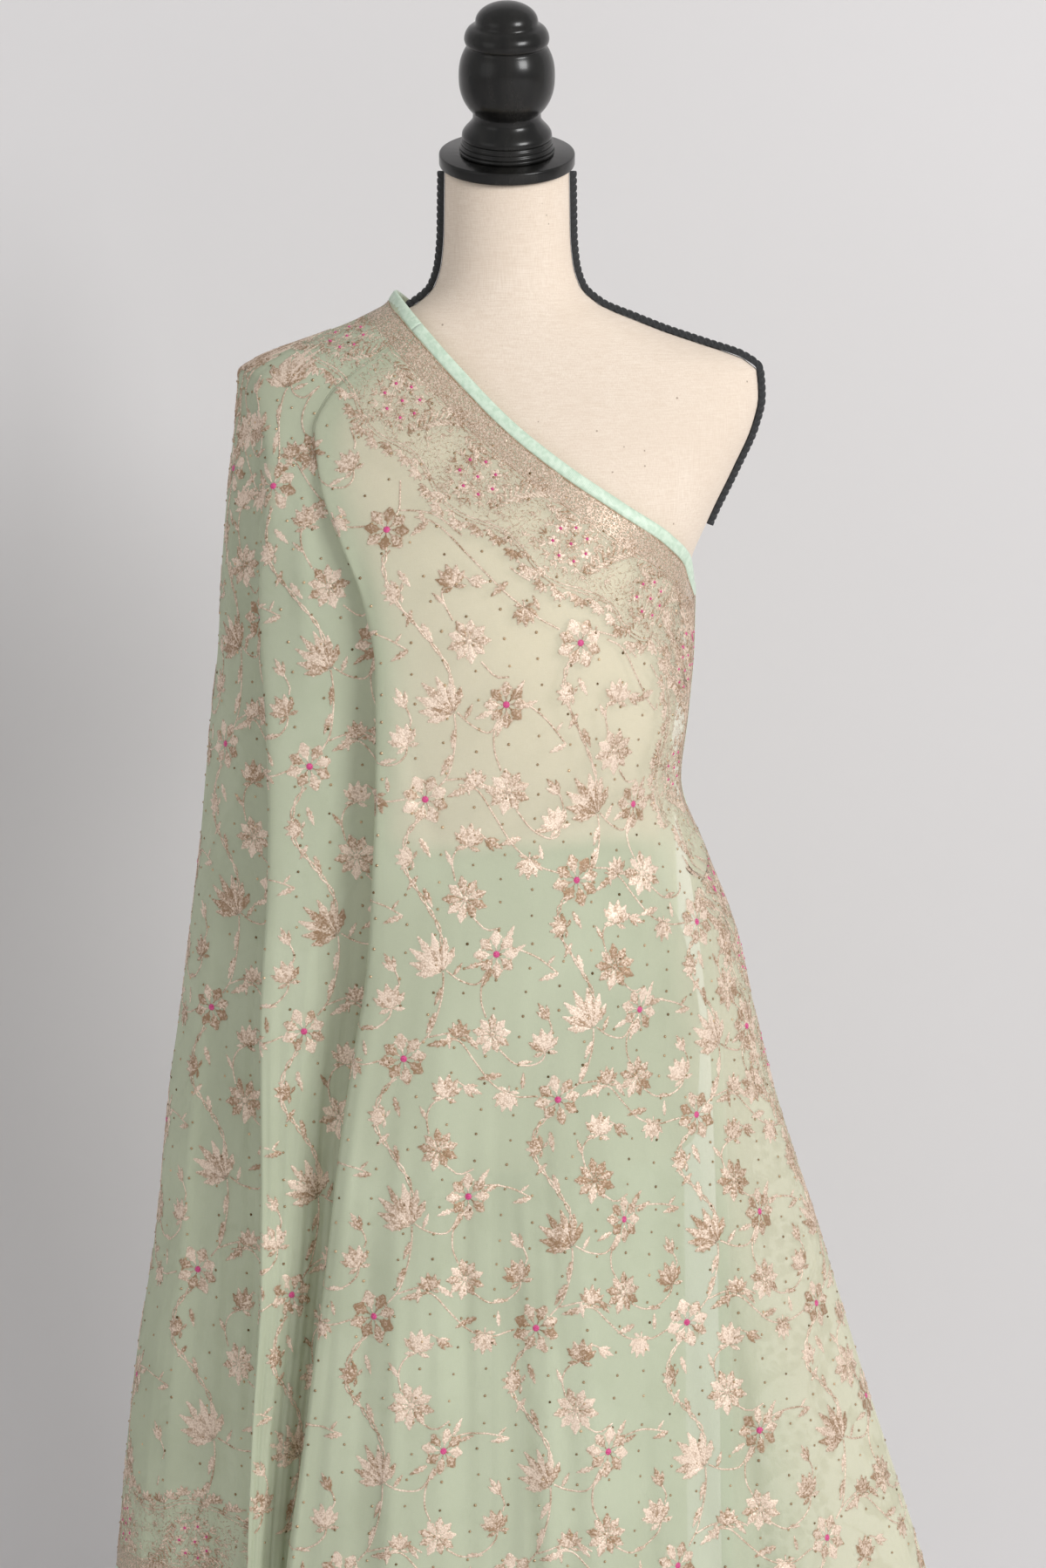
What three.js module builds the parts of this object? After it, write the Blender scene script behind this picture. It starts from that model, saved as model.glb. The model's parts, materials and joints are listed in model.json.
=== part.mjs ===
/**
 * Georgette saree draped over one shoulder of a limbless dress form.
 *
 * Millimetres, +Z up, +X to the viewer's right, the front faces -Y.
 * The origin is the centre of the base's underside, on the floor.
 *
 * The cloth is one sheet that winds round the form. A horizontal cut through it is a smooth curve
 * through named stations, numbered from the inner edge of the layer that turns back behind the
 * flare, round the flare's fold, across the front, over the two big folds to the left side, and
 * round the back. Every stretch of the saree is a thin wall on that one surface.
 */
import * as THREE from 'three';

// ---- driving sizes ----
const SEAM = 0.3;
const CLOTH_WALL = 1.5;
const BINDING_WALL = 1.1;
const BINDING_WIDTH = 9;

const BASE_RADIUS = 175;
const BASE_HEIGHT = 24;
const POLE_RADIUS = 13;
const POLE_COLLAR_RADIUS = 26;
const TORSO_FLOOR = 770;
const TORSO_SIDES = 44;
const TALLEST_TORSO_GAP = 24;

const NECK_LEAN = THREE.MathUtils.degToRad(18);
const NECK_TOP = 1525;
const NECK_DISC_RADIUS = 50.8;
const NECK_DISC_HEIGHT = 9.5;

const BRAID_WIDTH = 12;
const BRAID_THICKNESS = 3.4;
const BRAID_LOWER_END = 1255;
const BRAID_SIDES = 8;
const BRAID_BEND = 0.6;
const BRAID_TOP_TRIM = 0.25;

// Neck cap above its disc: steps up to the cove, the ball, the bead and the dome.
const FINIAL_STEPS = table('radius height', [
  [0, 0],
  [34.8, 0],
  [35.6, 1.2],
  [35.4, 5.2],
  [34.2, 6.4],
  [34.2, 9.6],
  [33.2, 10.8],
  [33.6, 13.6],
]);
const FINIAL_WAIST = { radius: 25.4, height: 27.3, rings: 4 };
const FINIAL_BALL = { radius: 35.7, centre: 58.5, low: 31, high: 81.5, reach: 33.5, rings: 8 };
const BALL_SHOULDER = { power: 2.4, root: 0.42, flare: 5, flarePower: 6 };
const FINIAL_BEAD = table('radius height', [
  [29.5, 82.4],
  [31.2, 85],
  [31.4, 88],
  [30.2, 92],
  [27, 95.6],
  [24.4, 97],
  [23.4, 98.6],
]);
const FINIAL_DOME = { radius: 23.2, low: 99.6, rise: 14.5, rings: 5 };
const DISC_EDGE = 1.2;
const TURNED_SIDES = { base: 48, disc: 48, finial: 28, pole: 24 };

// Base from its rim inwards: how far each ring stands in from the rim, and its height.
const BASE_RINGS = table('inset height', [
  [0, 0],
  [0, 9],
  [5, 13],
  [14, 15],
  [22, 21],
  [30, BASE_HEIGHT],
]);
// Pole's collars: distance of each ring from the pole's foot or from its top.
const POLE_FOOT = table('radius above', [
  [POLE_COLLAR_RADIUS, 0],
  [POLE_COLLAR_RADIUS, 8],
  [POLE_RADIUS + 4, 30],
  [POLE_RADIUS, 36],
]);
const POLE_HEAD = table('radius below', [
  [POLE_RADIUS, 30],
  [POLE_COLLAR_RADIUS, 14],
  [POLE_COLLAR_RADIUS, 0],
]);

// Torso sections: half width, y of front, side seam and back, roundness of the outline.
const TORSO_ROWS = table('z half front seam back power', [
  [770, 140, -96, 0, 102, 2.2],
  [778, 147, -103, 0, 108, 2.2],
  [860, 150, -108, 0, 114, 2.2],
  [930, 138, -104, 0, 104, 2.2],
  [995, 117, -93, 0, 84, 2.1],
  [1060, 122, -104, 0, 86, 2.1],
  [1130, 132, -121, 0, 97, 2.05],
  [1190, 136, -127, 0, 106, 2.0],
  [1218, 138, -124, 0, 109, 2.0],
  [1258, 153, -112, 0, 111, 2.0],
  [1298, 172, -94, 0, 106, 2.0],
  [1330, 186, -80, 0, 97, 2.0],
  [1351, 190.5, -70, 0, 86, 2.0],
  [1371, 189, -62, 0, 74, 1.95],
  [1380, 178, -60, 0, 71, 1.9],
  [1390, 149, -58, 0, 68, 1.85],
  [1400, 119, -56, 0, 65, 1.85],
  [1409, 96, -54, 0, 62, 1.9],
  [1420, 70, -52, 0, 58, 1.95],
  [1434, 55, -50, -1, 53, 2.0],
  [1452, 49.5, -50, -3, 46, 2.0],
  [1474, 47.5, -52, -6, 42, 2.0],
  [1500, 47, -56, -10, 37, 2.0],
  [1525, 46.5, -61, -14.5, 32, 2.0],
]);
const NECK_LEAN_STARTS = 1420;

// Drape sections: x of the left side, of the two fold ridges, of the right side and of the inner
// edge of the layer behind the flare; y of the front, the back and the right side; fold depth;
// how far each fold's ridge overlaps its valley; roundness of the right half.
const DRAPE_ROWS = table('z left ridge1 ridge2 right inner front back side fold lap power', [
  [1431, -84, -60, -40, 84, 60, -52, 60, 0, 0, -8, 1.9],
  [1422, -90, -72, -44, 97, 60, -58, 67, 0, 0, -8, 1.9],
  [1409, -113.5, -96, -54, 121, 60, -63, 73, 0, 0, -9, 1.9],
  [1398, -142.4, -120, -66, 148, 60, -66, 77, 0, 0, -11, 1.9],
  [1388, -171, -146, -80, 172, 60, -69, 81, 0, 0, -12, 1.95],
  [1380, -190, -164, -92, 188, 60, -71, 84, 0, 0, -13, 2.0],
  [1370, -203, -179, -106, 197, 60, -74, 88, 0, 2, -13, 2.05],
  [1355, -204, -187, -122, 197, 60, -80, 95, 0, 4, -12, 2.1],
  [1330, -206, -181, -134, 192, 60, -90, 106, 0, 5, -10, 2.1],
  [1290, -211, -177, -130, 177, 60, -106, 116, 0, 8, -7, 2.15],
  [1250, -215, -180, -116, 157, 60, -124, 120, 0, 12, -3, 2.2],
  [1210, -218, -182, -101, 143, 60, -135, 121, 2, 15, 0, 2.2],
  [1160, -221, -180, -92, 142, 70, -139, 122, 4, 20, 1, 2.2],
  [1110, -227, -177, -92, 138, 90, -142, 123, 5, 25, 2, 2.2],
  [1060, -232, -176, -93, 133, 118, -143, 125, 6, 29, 3, 2.15],
  [1000, -238, -177, -96, 154, 138, -147, 128, 5, 32, 4, 2.0],
  [940, -246, -181, -100, 177, 148, -152, 132, 2, 35, 5, 1.85],
  [880, -254, -184, -109, 191, 155, -157, 136, -2, 37, 6, 1.75],
  [820, -263, -184, -118, 206, 160, -162, 141, -6, 39, 6, 1.65],
  [700, -276, -185, -132, 244, 165, -175, 151, -13, 42, 7, 1.55],
  [580, -295, -192, -147, 280, 168, -187, 161, -20, 45, 8, 1.5],
  [460, -308, -197, -162, 318, 170, -198, 170, -27, 46, 9, 1.5],
  [300, -322, -206, -168, 366, 173, -210, 181, -36, 47, 10, 1.5],
  [110, -338, -218, -176, 420, 178, -222, 192, -46, 48, 10, 1.5],
]);

// Top edge of the cloth across the chest: its x at each height, from the neck to the underarm.
const FRONT_EDGE_ROWS = table('z x', [
  [1431, -84],
  [1406, -61],
  [1380, -37],
  [1339, 4],
  [1307, 45],
  [1278, 88],
  [1255, 121],
  [1234, 138],
  [1210, 142],
]);

// Top edge of the cloth across the back, from the neck to the right side of the waist.
const BACK_EDGE_ROWS = table('z x', [
  [1431, -84],
  [1395, -46],
  [1350, 0],
  [1290, 50],
  [1220, 92],
  [1140, 120],
  [1070, 130],
]);

// Free right-hand edge of the cloth at the back.
const BACK_END_ROWS = table('z x', [
  [1431, 80],
  [1372, 150],
  [1218, 134],
  [1070, 130],
  [940, 135],
  [700, 143],
  [380, 150],
]);

// Height of the lower edge at each station.
const HEM_ROWS = table('station z', [
  [0, 250],
  [3, 128],
  [4, 140],
  [5, 178],
  [6, 216],
  [7, 258],
  [8, 300],
  [9, 324],
  [11, 342],
  [12, 362],
  [13, 400],
  [14, 428],
  [15, 424],
  [16, 412],
  [17, 376],
  [18, 342],
  [19, 318],
  [21, 296],
]);

// Soft upright creases: x at the top and at the hem, height of the top, depth and half width.
const FRONT_CREASES = table('topX topZ hemX depth width', [
  [-50, 1050, -92, 8, 27],
  [8, 1010, -6, -6, 26],
  [62, 1030, 74, 9, 28],
  [104, 1040, 176, -8, 27],
  [124, 1045, 262, 7, 28],
]);
const BACK_CREASES = table('topX topZ hemX depth width', [
  [-150, 1300, -222, 12, 34],
  [-92, 1260, -136, -10, 32],
  [-36, 1240, -52, 12, 34],
  [22, 1160, 22, -9, 32],
  [76, 1090, 92, 11, 32],
]);
const CREASE_HEM = 260;

const CREASE_FULL_AT = 0.55;

// Stations of the drape's section.
const FLARE_FOLD = 3;
const FRONT_PANEL_STARTS = 4;
const SECOND_RIDGE = 8;
const SECOND_VALLEY = 9;
const LEFT_SIDE = 16;
const BACK_END = 21;
const RETURN_TOP = 1036;
const UNDERARM = 1210;
const BACK_EDGE_FOOT = 1070;
const NECK_POINT = 1431;

// Angles of the stations between the named ones: on the front panel as shares of the angle from
// the flare's fold to the second ridge, on the back from the left side to the free edge.
const FRONT_SHARES = [0.16, 0.38, 0.6, 0.82];
const BACK_SHARES = [0.13, 0.33, 0.56, 0.79, 1];

// How far the cloth stands in from the outline at each part of a fold, in fold depths.
const PUSH = {
  panelEnd: -0.05,
  ridge: -0.3,
  valley: 0.5,
  pleatFoot: 0.64,
  pleatMiddle: 0.16,
  sideFoot: 0.6,
  side: 0.1,
};
// Widths across a fold, as shares of the distance to the next ridge.
const LEAST_LAP = 0.3;
const PLEAT_FOOT_SHARE = 0.25;
const PLEAT_MIDDLE_SHARE = 0.55;
const SIDE_FOOT_SHARE = 0.2;

// Layer behind the flare: most depth, and the same as a share of the layer's width.
const LEAST_LAYER = 6;
const TURN = { most: 9, share: 0.3 };
const TURN_DEPTH = { most: 12, share: 0.3 };
const BEHIND = { most: 24, share: 0.4 };
const INNER_EDGE_DEPTH = 3;
const LAYER_MIDDLE = 0.33;
const LEFT_POWER = { least: 1.9, most: 2.15 };

const BLACK_WOOD = { color: 0x141412, roughness: 0.28, metalness: 0.0 };
const LINEN = { color: 0xeedfcd, roughness: 0.95, metalness: 0.0 };
const GIMP = { color: 0x161616, roughness: 0.9, metalness: 0.0 };
const GEORGETTE = { color: 0xb7c6a8, roughness: 0.7, metalness: 0.0 };
const SATIN = { color: 0xb4d9bb, roughness: 0.4, metalness: 0.0 };

// ---- small tools ----

/** Table whose rows hold their values under the column names given. */
function table(columnNames, rows) {
  const names = columnNames.split(' ');
  return rows.map((values) => Object.fromEntries(names.map((name, i) => [name, values[i]])));
}

/** Smooth value of one column of a table at a place along its key column (no overshoot). */
function track(rows, key, column, at) {
  const rising = rows[rows.length - 1][key] > rows[0][key];
  const order = rising ? 1 : -1;
  let i = 0;
  while (i < rows.length - 2 && order * (at - rows[i + 1][key]) > 0) {
    i += 1;
  }
  const slope = (k) => (rows[k + 1][column] - rows[k][column]) / (rows[k + 1][key] - rows[k][key]);
  const tangent = (k) => {
    if (k === 0) {
      return slope(0);
    }
    if (k === rows.length - 1) {
      return slope(k - 1);
    }
    const before = slope(k - 1);
    const after = slope(k);
    return before * after <= 0 ? 0 : (2 * before * after) / (before + after);
  };
  const span = rows[i + 1][key] - rows[i][key];
  const t = THREE.MathUtils.clamp((at - rows[i][key]) / span, 0, 1);
  const t2 = t * t;
  const t3 = t2 * t;
  return (
    (2 * t3 - 3 * t2 + 1) * rows[i][column] +
    (t3 - 2 * t2 + t) * span * tangent(i) +
    (3 * t2 - 2 * t3) * rows[i + 1][column] +
    (t3 - t2) * span * tangent(i + 1)
  );
}

/** Mesh of one named piece. */
function piece(name, geometry, finish) {
  const mesh = new THREE.Mesh(geometry, new THREE.MeshStandardMaterial(finish));
  mesh.name = name;
  return mesh;
}

/** Indexed geometry from points and triangles. */
function solid(points, triangles) {
  const geometry = new THREE.BufferGeometry();
  const flat = points.flatMap((p) => [p.x, p.y, p.z]);
  geometry.setAttribute('position', new THREE.Float32BufferAttribute(flat, 3));
  geometry.setIndex(triangles.flat());
  geometry.computeVertexNormals();
  return geometry;
}

/** Closed skin through rings that run anticlockwise seen from their far end. */
function loft(rings) {
  const points = rings.flat();
  const triangles = [];
  const count = rings[0].length;
  for (let r = 0; r < rings.length - 1; r += 1) {
    for (let i = 0; i < count; i += 1) {
      const a = r * count + i;
      const b = r * count + ((i + 1) % count);
      triangles.push([a, b, b + count], [a, b + count, a + count]);
    }
  }
  const middle = (ring) => {
    const sum = new THREE.Vector3();
    ring.forEach((p) => sum.add(p));
    return sum.divideScalar(ring.length);
  };
  points.push(middle(rings[0]), middle(rings[rings.length - 1]));
  const last = (rings.length - 1) * count;
  for (let i = 0; i < count; i += 1) {
    const next = (i + 1) % count;
    triangles.push([points.length - 2, next, i]);
    triangles.push([points.length - 1, last + i, last + next]);
  }
  return solid(points, triangles);
}

/**
 * Thin wall between two grids of points with the same shape: grid[column][row], the columns
 * running clockwise seen from above and the rows running down. near is the inner face.
 */
function wall(near, far) {
  const columns = near.length;
  const rows = near[0].length;
  const points = [...near.flat(), ...far.flat()];
  const inner = (c, r) => c * rows + r;
  const outer = (c, r) => columns * rows + c * rows + r;
  const triangles = [];
  const quad = (a, b, c, d) => triangles.push([a, b, c], [a, c, d]);
  for (let c = 0; c < columns - 1; c += 1) {
    for (let r = 0; r < rows - 1; r += 1) {
      quad(outer(c, r), outer(c + 1, r), outer(c + 1, r + 1), outer(c, r + 1));
      quad(inner(c, r), inner(c, r + 1), inner(c + 1, r + 1), inner(c + 1, r));
    }
    quad(inner(c, 0), inner(c + 1, 0), outer(c + 1, 0), outer(c, 0));
    quad(outer(c, rows - 1), outer(c + 1, rows - 1), inner(c + 1, rows - 1), inner(c, rows - 1));
  }
  for (let r = 0; r < rows - 1; r += 1) {
    quad(outer(0, r), outer(0, r + 1), inner(0, r + 1), inner(0, r));
    const end = columns - 1;
    quad(outer(end, r), inner(end, r), inner(end, r + 1), outer(end, r + 1));
  }
  return solid(points, triangles);
}

/** Solid of revolution about Z from [radius, height] pairs that start and end on the axis. */
function turned(profile, segments) {
  const outline = profile.map(([radius, height]) => new THREE.Vector2(radius, height));
  return new THREE.LatheGeometry(outline, segments).rotateX(Math.PI / 2);
}

// ---- the dress form ----

/** Measurements of the torso at height z. */
function torsoAt(z) {
  const value = (column) => track(TORSO_ROWS, 'z', column, z);
  const lean = NECK_LEAN * THREE.MathUtils.smoothstep(z, NECK_LEAN_STARTS, NECK_TOP);
  const sizes = { half: value('half'), front: value('front'), back: value('back') };
  return { ...sizes, seam: value('seam'), power: value('power'), lean };
}

/** One ring of the torso: a rounded outline about its side seams, leaning with the neck. */
function torsoRing(z) {
  const at = torsoAt(z);
  const ring = [];
  for (let i = 0; i < TORSO_SIDES; i += 1) {
    const angle = (2 * Math.PI * i) / TORSO_SIDES;
    const c = Math.cos(angle);
    const s = Math.sin(angle);
    const depth = s < 0 ? at.seam - at.front : at.back - at.seam;
    const x = at.half * Math.sign(c) * Math.abs(c) ** (2 / at.power);
    const y = depth * Math.sign(s) * Math.abs(s) ** (2 / at.power);
    ring.push(new THREE.Vector3(x, at.seam + y * Math.cos(at.lean), z + y * Math.sin(at.lean)));
  }
  return ring;
}

/** Heights of the torso's rings: each row of the table and the middle of each tall gap. */
function torsoHeights() {
  const heights = [];
  TORSO_ROWS.forEach((row, i) => {
    heights.push(row.z);
    const next = TORSO_ROWS[i + 1];
    if (next && next.z - row.z > TALLEST_TORSO_GAP) {
      heights.push((row.z + next.z) / 2);
    }
  });
  return heights;
}

function makeTorso() {
  return piece('torso', loft(torsoHeights().map(torsoRing)), LINEN);
}

/** Flat gimp braid that follows one side seam from the neck disc over the shoulder. */
function makeBraid(name, side) {
  const halfTurn = side > 0 ? 0 : TORSO_SIDES / 2;
  const line = torsoHeights()
    .filter((z) => z >= BRAID_LOWER_END)
    .map((z) => torsoRing(z)[halfTurn]);
  const topEnd = line.length - 1;
  line[topEnd] = line[topEnd].clone().lerp(line[topEnd - 1], BRAID_TOP_TRIM);
  const rings = line.map((point, k) => {
    const before = line[Math.max(k - 1, 0)];
    const after = line[Math.min(k + 1, topEnd)];
    const along = after.clone().sub(before).normalize();
    const across = new THREE.Vector3(0, 1, 0);
    const out = across.clone().cross(along).normalize();
    if (out.x * side < 0) {
      out.negate();
    }
    const ring = [];
    for (let i = 0; i < BRAID_SIDES; i += 1) {
      const angle = (2 * Math.PI * (i + 0.5)) / BRAID_SIDES;
      const c = Math.cos(angle);
      const s = Math.sin(angle);
      const wide = (BRAID_WIDTH / 2) * Math.sign(c) * Math.abs(c) ** BRAID_BEND;
      const thick = (BRAID_THICKNESS / 2) * Math.sign(s) * Math.abs(s) ** BRAID_BEND;
      const lift = SEAM + BRAID_THICKNESS / 2 + thick;
      ring.push(point.clone().addScaledVector(across, -wide * side).addScaledVector(out, lift));
    }
    return ring;
  });
  return piece(name, loft(rings), GIMP);
}

/** Group that stands on the leaning top of the neck. */
function neckGroup() {
  const at = torsoAt(NECK_TOP);
  const group = new THREE.Group();
  group.position.set(0, at.seam, NECK_TOP);
  group.rotation.x = NECK_LEAN;
  return group;
}

function makeNeckDisc() {
  const profile = [
    [0, SEAM],
    [NECK_DISC_RADIUS - DISC_EDGE, SEAM],
    [NECK_DISC_RADIUS, SEAM + DISC_EDGE],
    [NECK_DISC_RADIUS, NECK_DISC_HEIGHT - DISC_EDGE],
    [NECK_DISC_RADIUS - DISC_EDGE, NECK_DISC_HEIGHT],
    [0, NECK_DISC_HEIGHT],
  ];
  return piece('neck_disc', turned(profile, TURNED_SIDES.disc), BLACK_WOOD);
}

/** Turned finial: two steps, a cove, a ball, a bead and a dome. */
function makeNeckFinial() {
  const ringOf = ({ radius, height }) => [radius, height];
  const profile = FINIAL_STEPS.map(ringOf);
  const [stepRadius, stepHeight] = profile[profile.length - 1];
  for (let i = 1; i <= FINIAL_WAIST.rings; i += 1) {
    const t = i / FINIAL_WAIST.rings;
    const radius = THREE.MathUtils.lerp(stepRadius, FINIAL_WAIST.radius, (1 - Math.cos(t * Math.PI)) / 2);
    profile.push([radius, THREE.MathUtils.lerp(stepHeight, FINIAL_WAIST.height, t)]);
  }
  const { power, root, flare, flarePower } = BALL_SHOULDER;
  for (let i = 0; i <= FINIAL_BALL.rings; i += 1) {
    const height = THREE.MathUtils.lerp(FINIAL_BALL.low, FINIAL_BALL.high, i / FINIAL_BALL.rings);
    const rise = Math.abs(height - FINIAL_BALL.centre) / FINIAL_BALL.reach;
    profile.push([FINIAL_BALL.radius * (1 - rise ** power) ** root + flare * rise ** flarePower, height]);
  }
  profile.push(...FINIAL_BEAD.map(ringOf));
  const dome = FINIAL_DOME;
  for (let i = 0; i < dome.rings; i += 1) {
    const angle = ((i / dome.rings) * Math.PI) / 2;
    profile.push([dome.radius * Math.cos(angle), dome.low + dome.rise * Math.sin(angle)]);
  }
  profile.push([0, dome.low + dome.rise]);
  const floor = NECK_DISC_HEIGHT + SEAM;
  const raised = profile.map(([radius, height]) => [radius, height + floor]);
  return piece('neck_finial', turned(raised, TURNED_SIDES.finial), BLACK_WOOD);
}

function makeBase() {
  const rings = BASE_RINGS.map(({ inset, height }) => [BASE_RADIUS - inset, height]);
  return piece('base_disc', turned([[0, 0], ...rings, [0, BASE_HEIGHT]], TURNED_SIDES.base), BLACK_WOOD);
}

function makePole() {
  const foot = BASE_HEIGHT + SEAM;
  const top = TORSO_FLOOR - SEAM;
  const lower = POLE_FOOT.map(({ radius, above }) => [radius, foot + above]);
  const upper = POLE_HEAD.map(({ radius, below }) => [radius, top - below]);
  const profile = [[0, foot], ...lower, ...upper, [0, top]];
  return piece('stand_pole', turned(profile, TURNED_SIDES.pole), BLACK_WOOD);
}

// ---- the drape's surface ----

/** Depth of the soft creases at a place, positive outwards. */
function creaseDepth(creases, x, z) {
  let sum = 0;
  for (const crease of creases) {
    const fall = (crease.topZ - z) / (crease.topZ - CREASE_HEM);
    if (fall > 0) {
      const middle = THREE.MathUtils.lerp(crease.topX, crease.hemX, fall);
      const grown = THREE.MathUtils.smoothstep(fall, 0, CREASE_FULL_AT);
      sum += crease.depth * grown * Math.exp(-(((x - middle) / crease.width) ** 2));
    }
  }
  return sum;
}

/** The named stations of the drape's section at height z, as [x, y] pairs. */
function stationsAt(z) {
  const value = (column) => track(DRAPE_ROWS, 'z', column, z);
  const left = value('left');
  const right = value('right');
  const ridge1 = value('ridge1');
  const ridge2 = value('ridge2');
  const inner = Math.min(value('inner'), right - LEAST_LAYER);
  const front = value('front');
  const back = value('back');
  const side = value('side');
  const fold = value('fold');
  const lap = value('lap');
  const rightPower = value('power');
  const leftPower = THREE.MathUtils.clamp(rightPower, LEFT_POWER.least, LEFT_POWER.most);
  const middle = (left + right) / 2;
  const reach = (right - left) / 2;

  const powerAt = (cosine, deep) => (cosine > 0 && deep < 0 ? rightPower : leftPower);
  const angleOf = (x, deep) => {
    const offset = THREE.MathUtils.clamp((x - middle) / reach, -1, 1);
    return Math.acos(Math.sign(offset) * Math.abs(offset) ** (powerAt(offset, deep) / 2));
  };
  const roundAt = (angle, deep, push = 0) => {
    const c = Math.cos(angle);
    const s = Math.sin(angle);
    const bend = 2 / powerAt(c, deep);
    const edge = c > 0 ? side : 0;
    const x = middle + reach * Math.sign(c) * Math.abs(c) ** bend;
    return [x, edge + (deep - edge) * Math.abs(s) ** bend + push * fold];
  };
  const frontAt = (x, push) => [x, roundAt(angleOf(x, front), front, push)[1]];

  const layer = right - inner;
  const within = ({ most, share }) => Math.min(most, layer * share);
  const ridgeAngle = angleOf(ridge2, front);
  const valley2 = ridge2 + Math.max(lap, LEAST_LAP * (ridge1 - ridge2));
  const pleatStart = valley2 + PLEAT_FOOT_SHARE * (ridge1 - ridge2);
  const valley1 = ridge1 + Math.max(lap, LEAST_LAP * (left - ridge1));
  const sideStart = valley1 + SIDE_FOOT_SHARE * (left - ridge1);
  const sideAngle = (angleOf(sideStart, front) + Math.PI) / 2;
  const endAngle = angleOf(track(BACK_END_ROWS, 'z', 'x', z), back);
  const panelAt = (i, push) => roundAt(FRONT_SHARES[i] * ridgeAngle, front, push);
  const backAt = (share) => roundAt(THREE.MathUtils.lerp(Math.PI, endAngle, share), back);
  return [
    [inner, side + within(BEHIND) + INNER_EDGE_DEPTH],
    [THREE.MathUtils.lerp(inner, right, LAYER_MIDDLE), side + within(BEHIND)],
    [right - within(TURN), side + within(TURN_DEPTH)],
    [right, side],
    panelAt(0),
    panelAt(1),
    panelAt(2),
    panelAt(3, PUSH.panelEnd),
    frontAt(ridge2, PUSH.ridge),
    frontAt(valley2, PUSH.valley),
    frontAt(pleatStart, PUSH.pleatFoot),
    frontAt(THREE.MathUtils.lerp(pleatStart, ridge1, PLEAT_MIDDLE_SHARE), PUSH.pleatMiddle),
    frontAt(ridge1, PUSH.ridge),
    frontAt(valley1, PUSH.valley),
    frontAt(sideStart, PUSH.sideFoot),
    roundAt(sideAngle, front, PUSH.side),
    [left, 0],
    ...BACK_SHARES.map(backAt),
  ];
}

/** Point of the drape at a station (a whole number or between two) and a height. */
function drapePoint(station, z) {
  const knots = stationsAt(z);
  const last = knots.length - 1;
  const i = THREE.MathUtils.clamp(Math.floor(station), 0, last - 1);
  const t = station - i;
  const mirrored = (a, b) => [2 * a[0] - b[0], 2 * a[1] - b[1]];
  const p1 = knots[i];
  const p2 = knots[i + 1];
  const p0 = i > 0 ? knots[i - 1] : mirrored(p1, p2);
  const p3 = i + 2 <= last ? knots[i + 2] : mirrored(p2, p1);
  const blend = (k) =>
    0.5 *
    (2 * p1[k] +
      (p2[k] - p0[k]) * t +
      (2 * p0[k] - 5 * p1[k] + 4 * p2[k] - p3[k]) * t * t +
      (3 * p1[k] - p0[k] - 3 * p2[k] + p3[k]) * t * t * t);
  const x = blend(0);
  let y = blend(1);
  const onFront = THREE.MathUtils.smoothstep(station, FLARE_FOLD, FRONT_PANEL_STARTS);
  const beforeRidge = 1 - THREE.MathUtils.smoothstep(station, SECOND_RIDGE - 1, SECOND_RIDGE);
  y -= onFront * beforeRidge * creaseDepth(FRONT_CREASES, x, z);
  const onBack = THREE.MathUtils.smoothstep(station, LEFT_SIDE + 0.4, LEFT_SIDE + 2);
  y += onBack * creaseDepth(BACK_CREASES, x, z);
  return new THREE.Vector3(x, y, z);
}

/** Point of the drape with its outward direction and the direction across its column. */
function drapeFrame(station, z) {
  const ds = 0.02;
  const dz = 1.5;
  const after = drapePoint(Math.min(station + ds, BACK_END), z);
  const before = drapePoint(Math.max(station - ds, 0), z);
  const up = drapePoint(station, Math.min(z + dz, NECK_POINT)).sub(drapePoint(station, z - dz)).normalize();
  const normal = up.clone().cross(after.sub(before)).normalize();
  return { point: drapePoint(station, z), normal, across: normal.clone().cross(up) };
}

/** Height at which a column of the cloth meets the top edge. */
function columnTop(station) {
  if (station <= FLARE_FOLD) {
    return RETURN_TOP;
  }
  const onBack = station > LEFT_SIDE;
  const edge = onBack ? BACK_EDGE_ROWS : FRONT_EDGE_ROWS;
  let low = onBack ? BACK_EDGE_FOOT : UNDERARM;
  let high = NECK_POINT;
  const steps = 40;
  for (let i = 0; i < steps; i += 1) {
    const z = (low + high) / 2;
    if (drapePoint(station, z).x > track(edge, 'z', 'x', z)) {
      high = z;
    } else {
      low = z;
    }
  }
  return (low + high) / 2;
}

function columnHem(station) {
  return track(HEM_ROWS, 'station', 'z', station);
}

/** How far down a column a strip of the given width under the top edge reaches. */
function stripDrop(station, width) {
  const ds = 0.05;
  const here = drapePoint(station, columnTop(station));
  const before = Math.max(station - ds, FLARE_FOLD + 0.001);
  const after = Math.min(station + ds, BACK_END);
  const along = drapePoint(after, columnTop(after)).sub(drapePoint(before, columnTop(before))).normalize();
  const down = drapePoint(station, here.z - 2).sub(here);
  const across = down.clone().addScaledVector(along, -down.dot(along)).length() / 2;
  return THREE.MathUtils.clamp(width / across, 2, 24);
}

/** Stations of a stretch's columns: counts[i] columns between whole stations. */
function columnsOf(first, counts) {
  const columns = [first];
  counts.forEach((count, i) => {
    for (let k = 1; k <= count; k += 1) {
      columns.push(first + i + k / count);
    }
  });
  return columns;
}

/** Heights of a column's rows: the edge strips exactly, the rest closer together near the top. */
function columnRows(top, drop, hem, count) {
  const rows = [top];
  const inside = top - drop;
  const foot = hem + BINDING_WIDTH;
  const crowding = 1.9;
  for (let i = 0; i <= count; i += 1) {
    rows.push(THREE.MathUtils.lerp(inside, foot, (i / count) ** crowding));
  }
  rows.push(hem);
  return rows;
}

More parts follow.
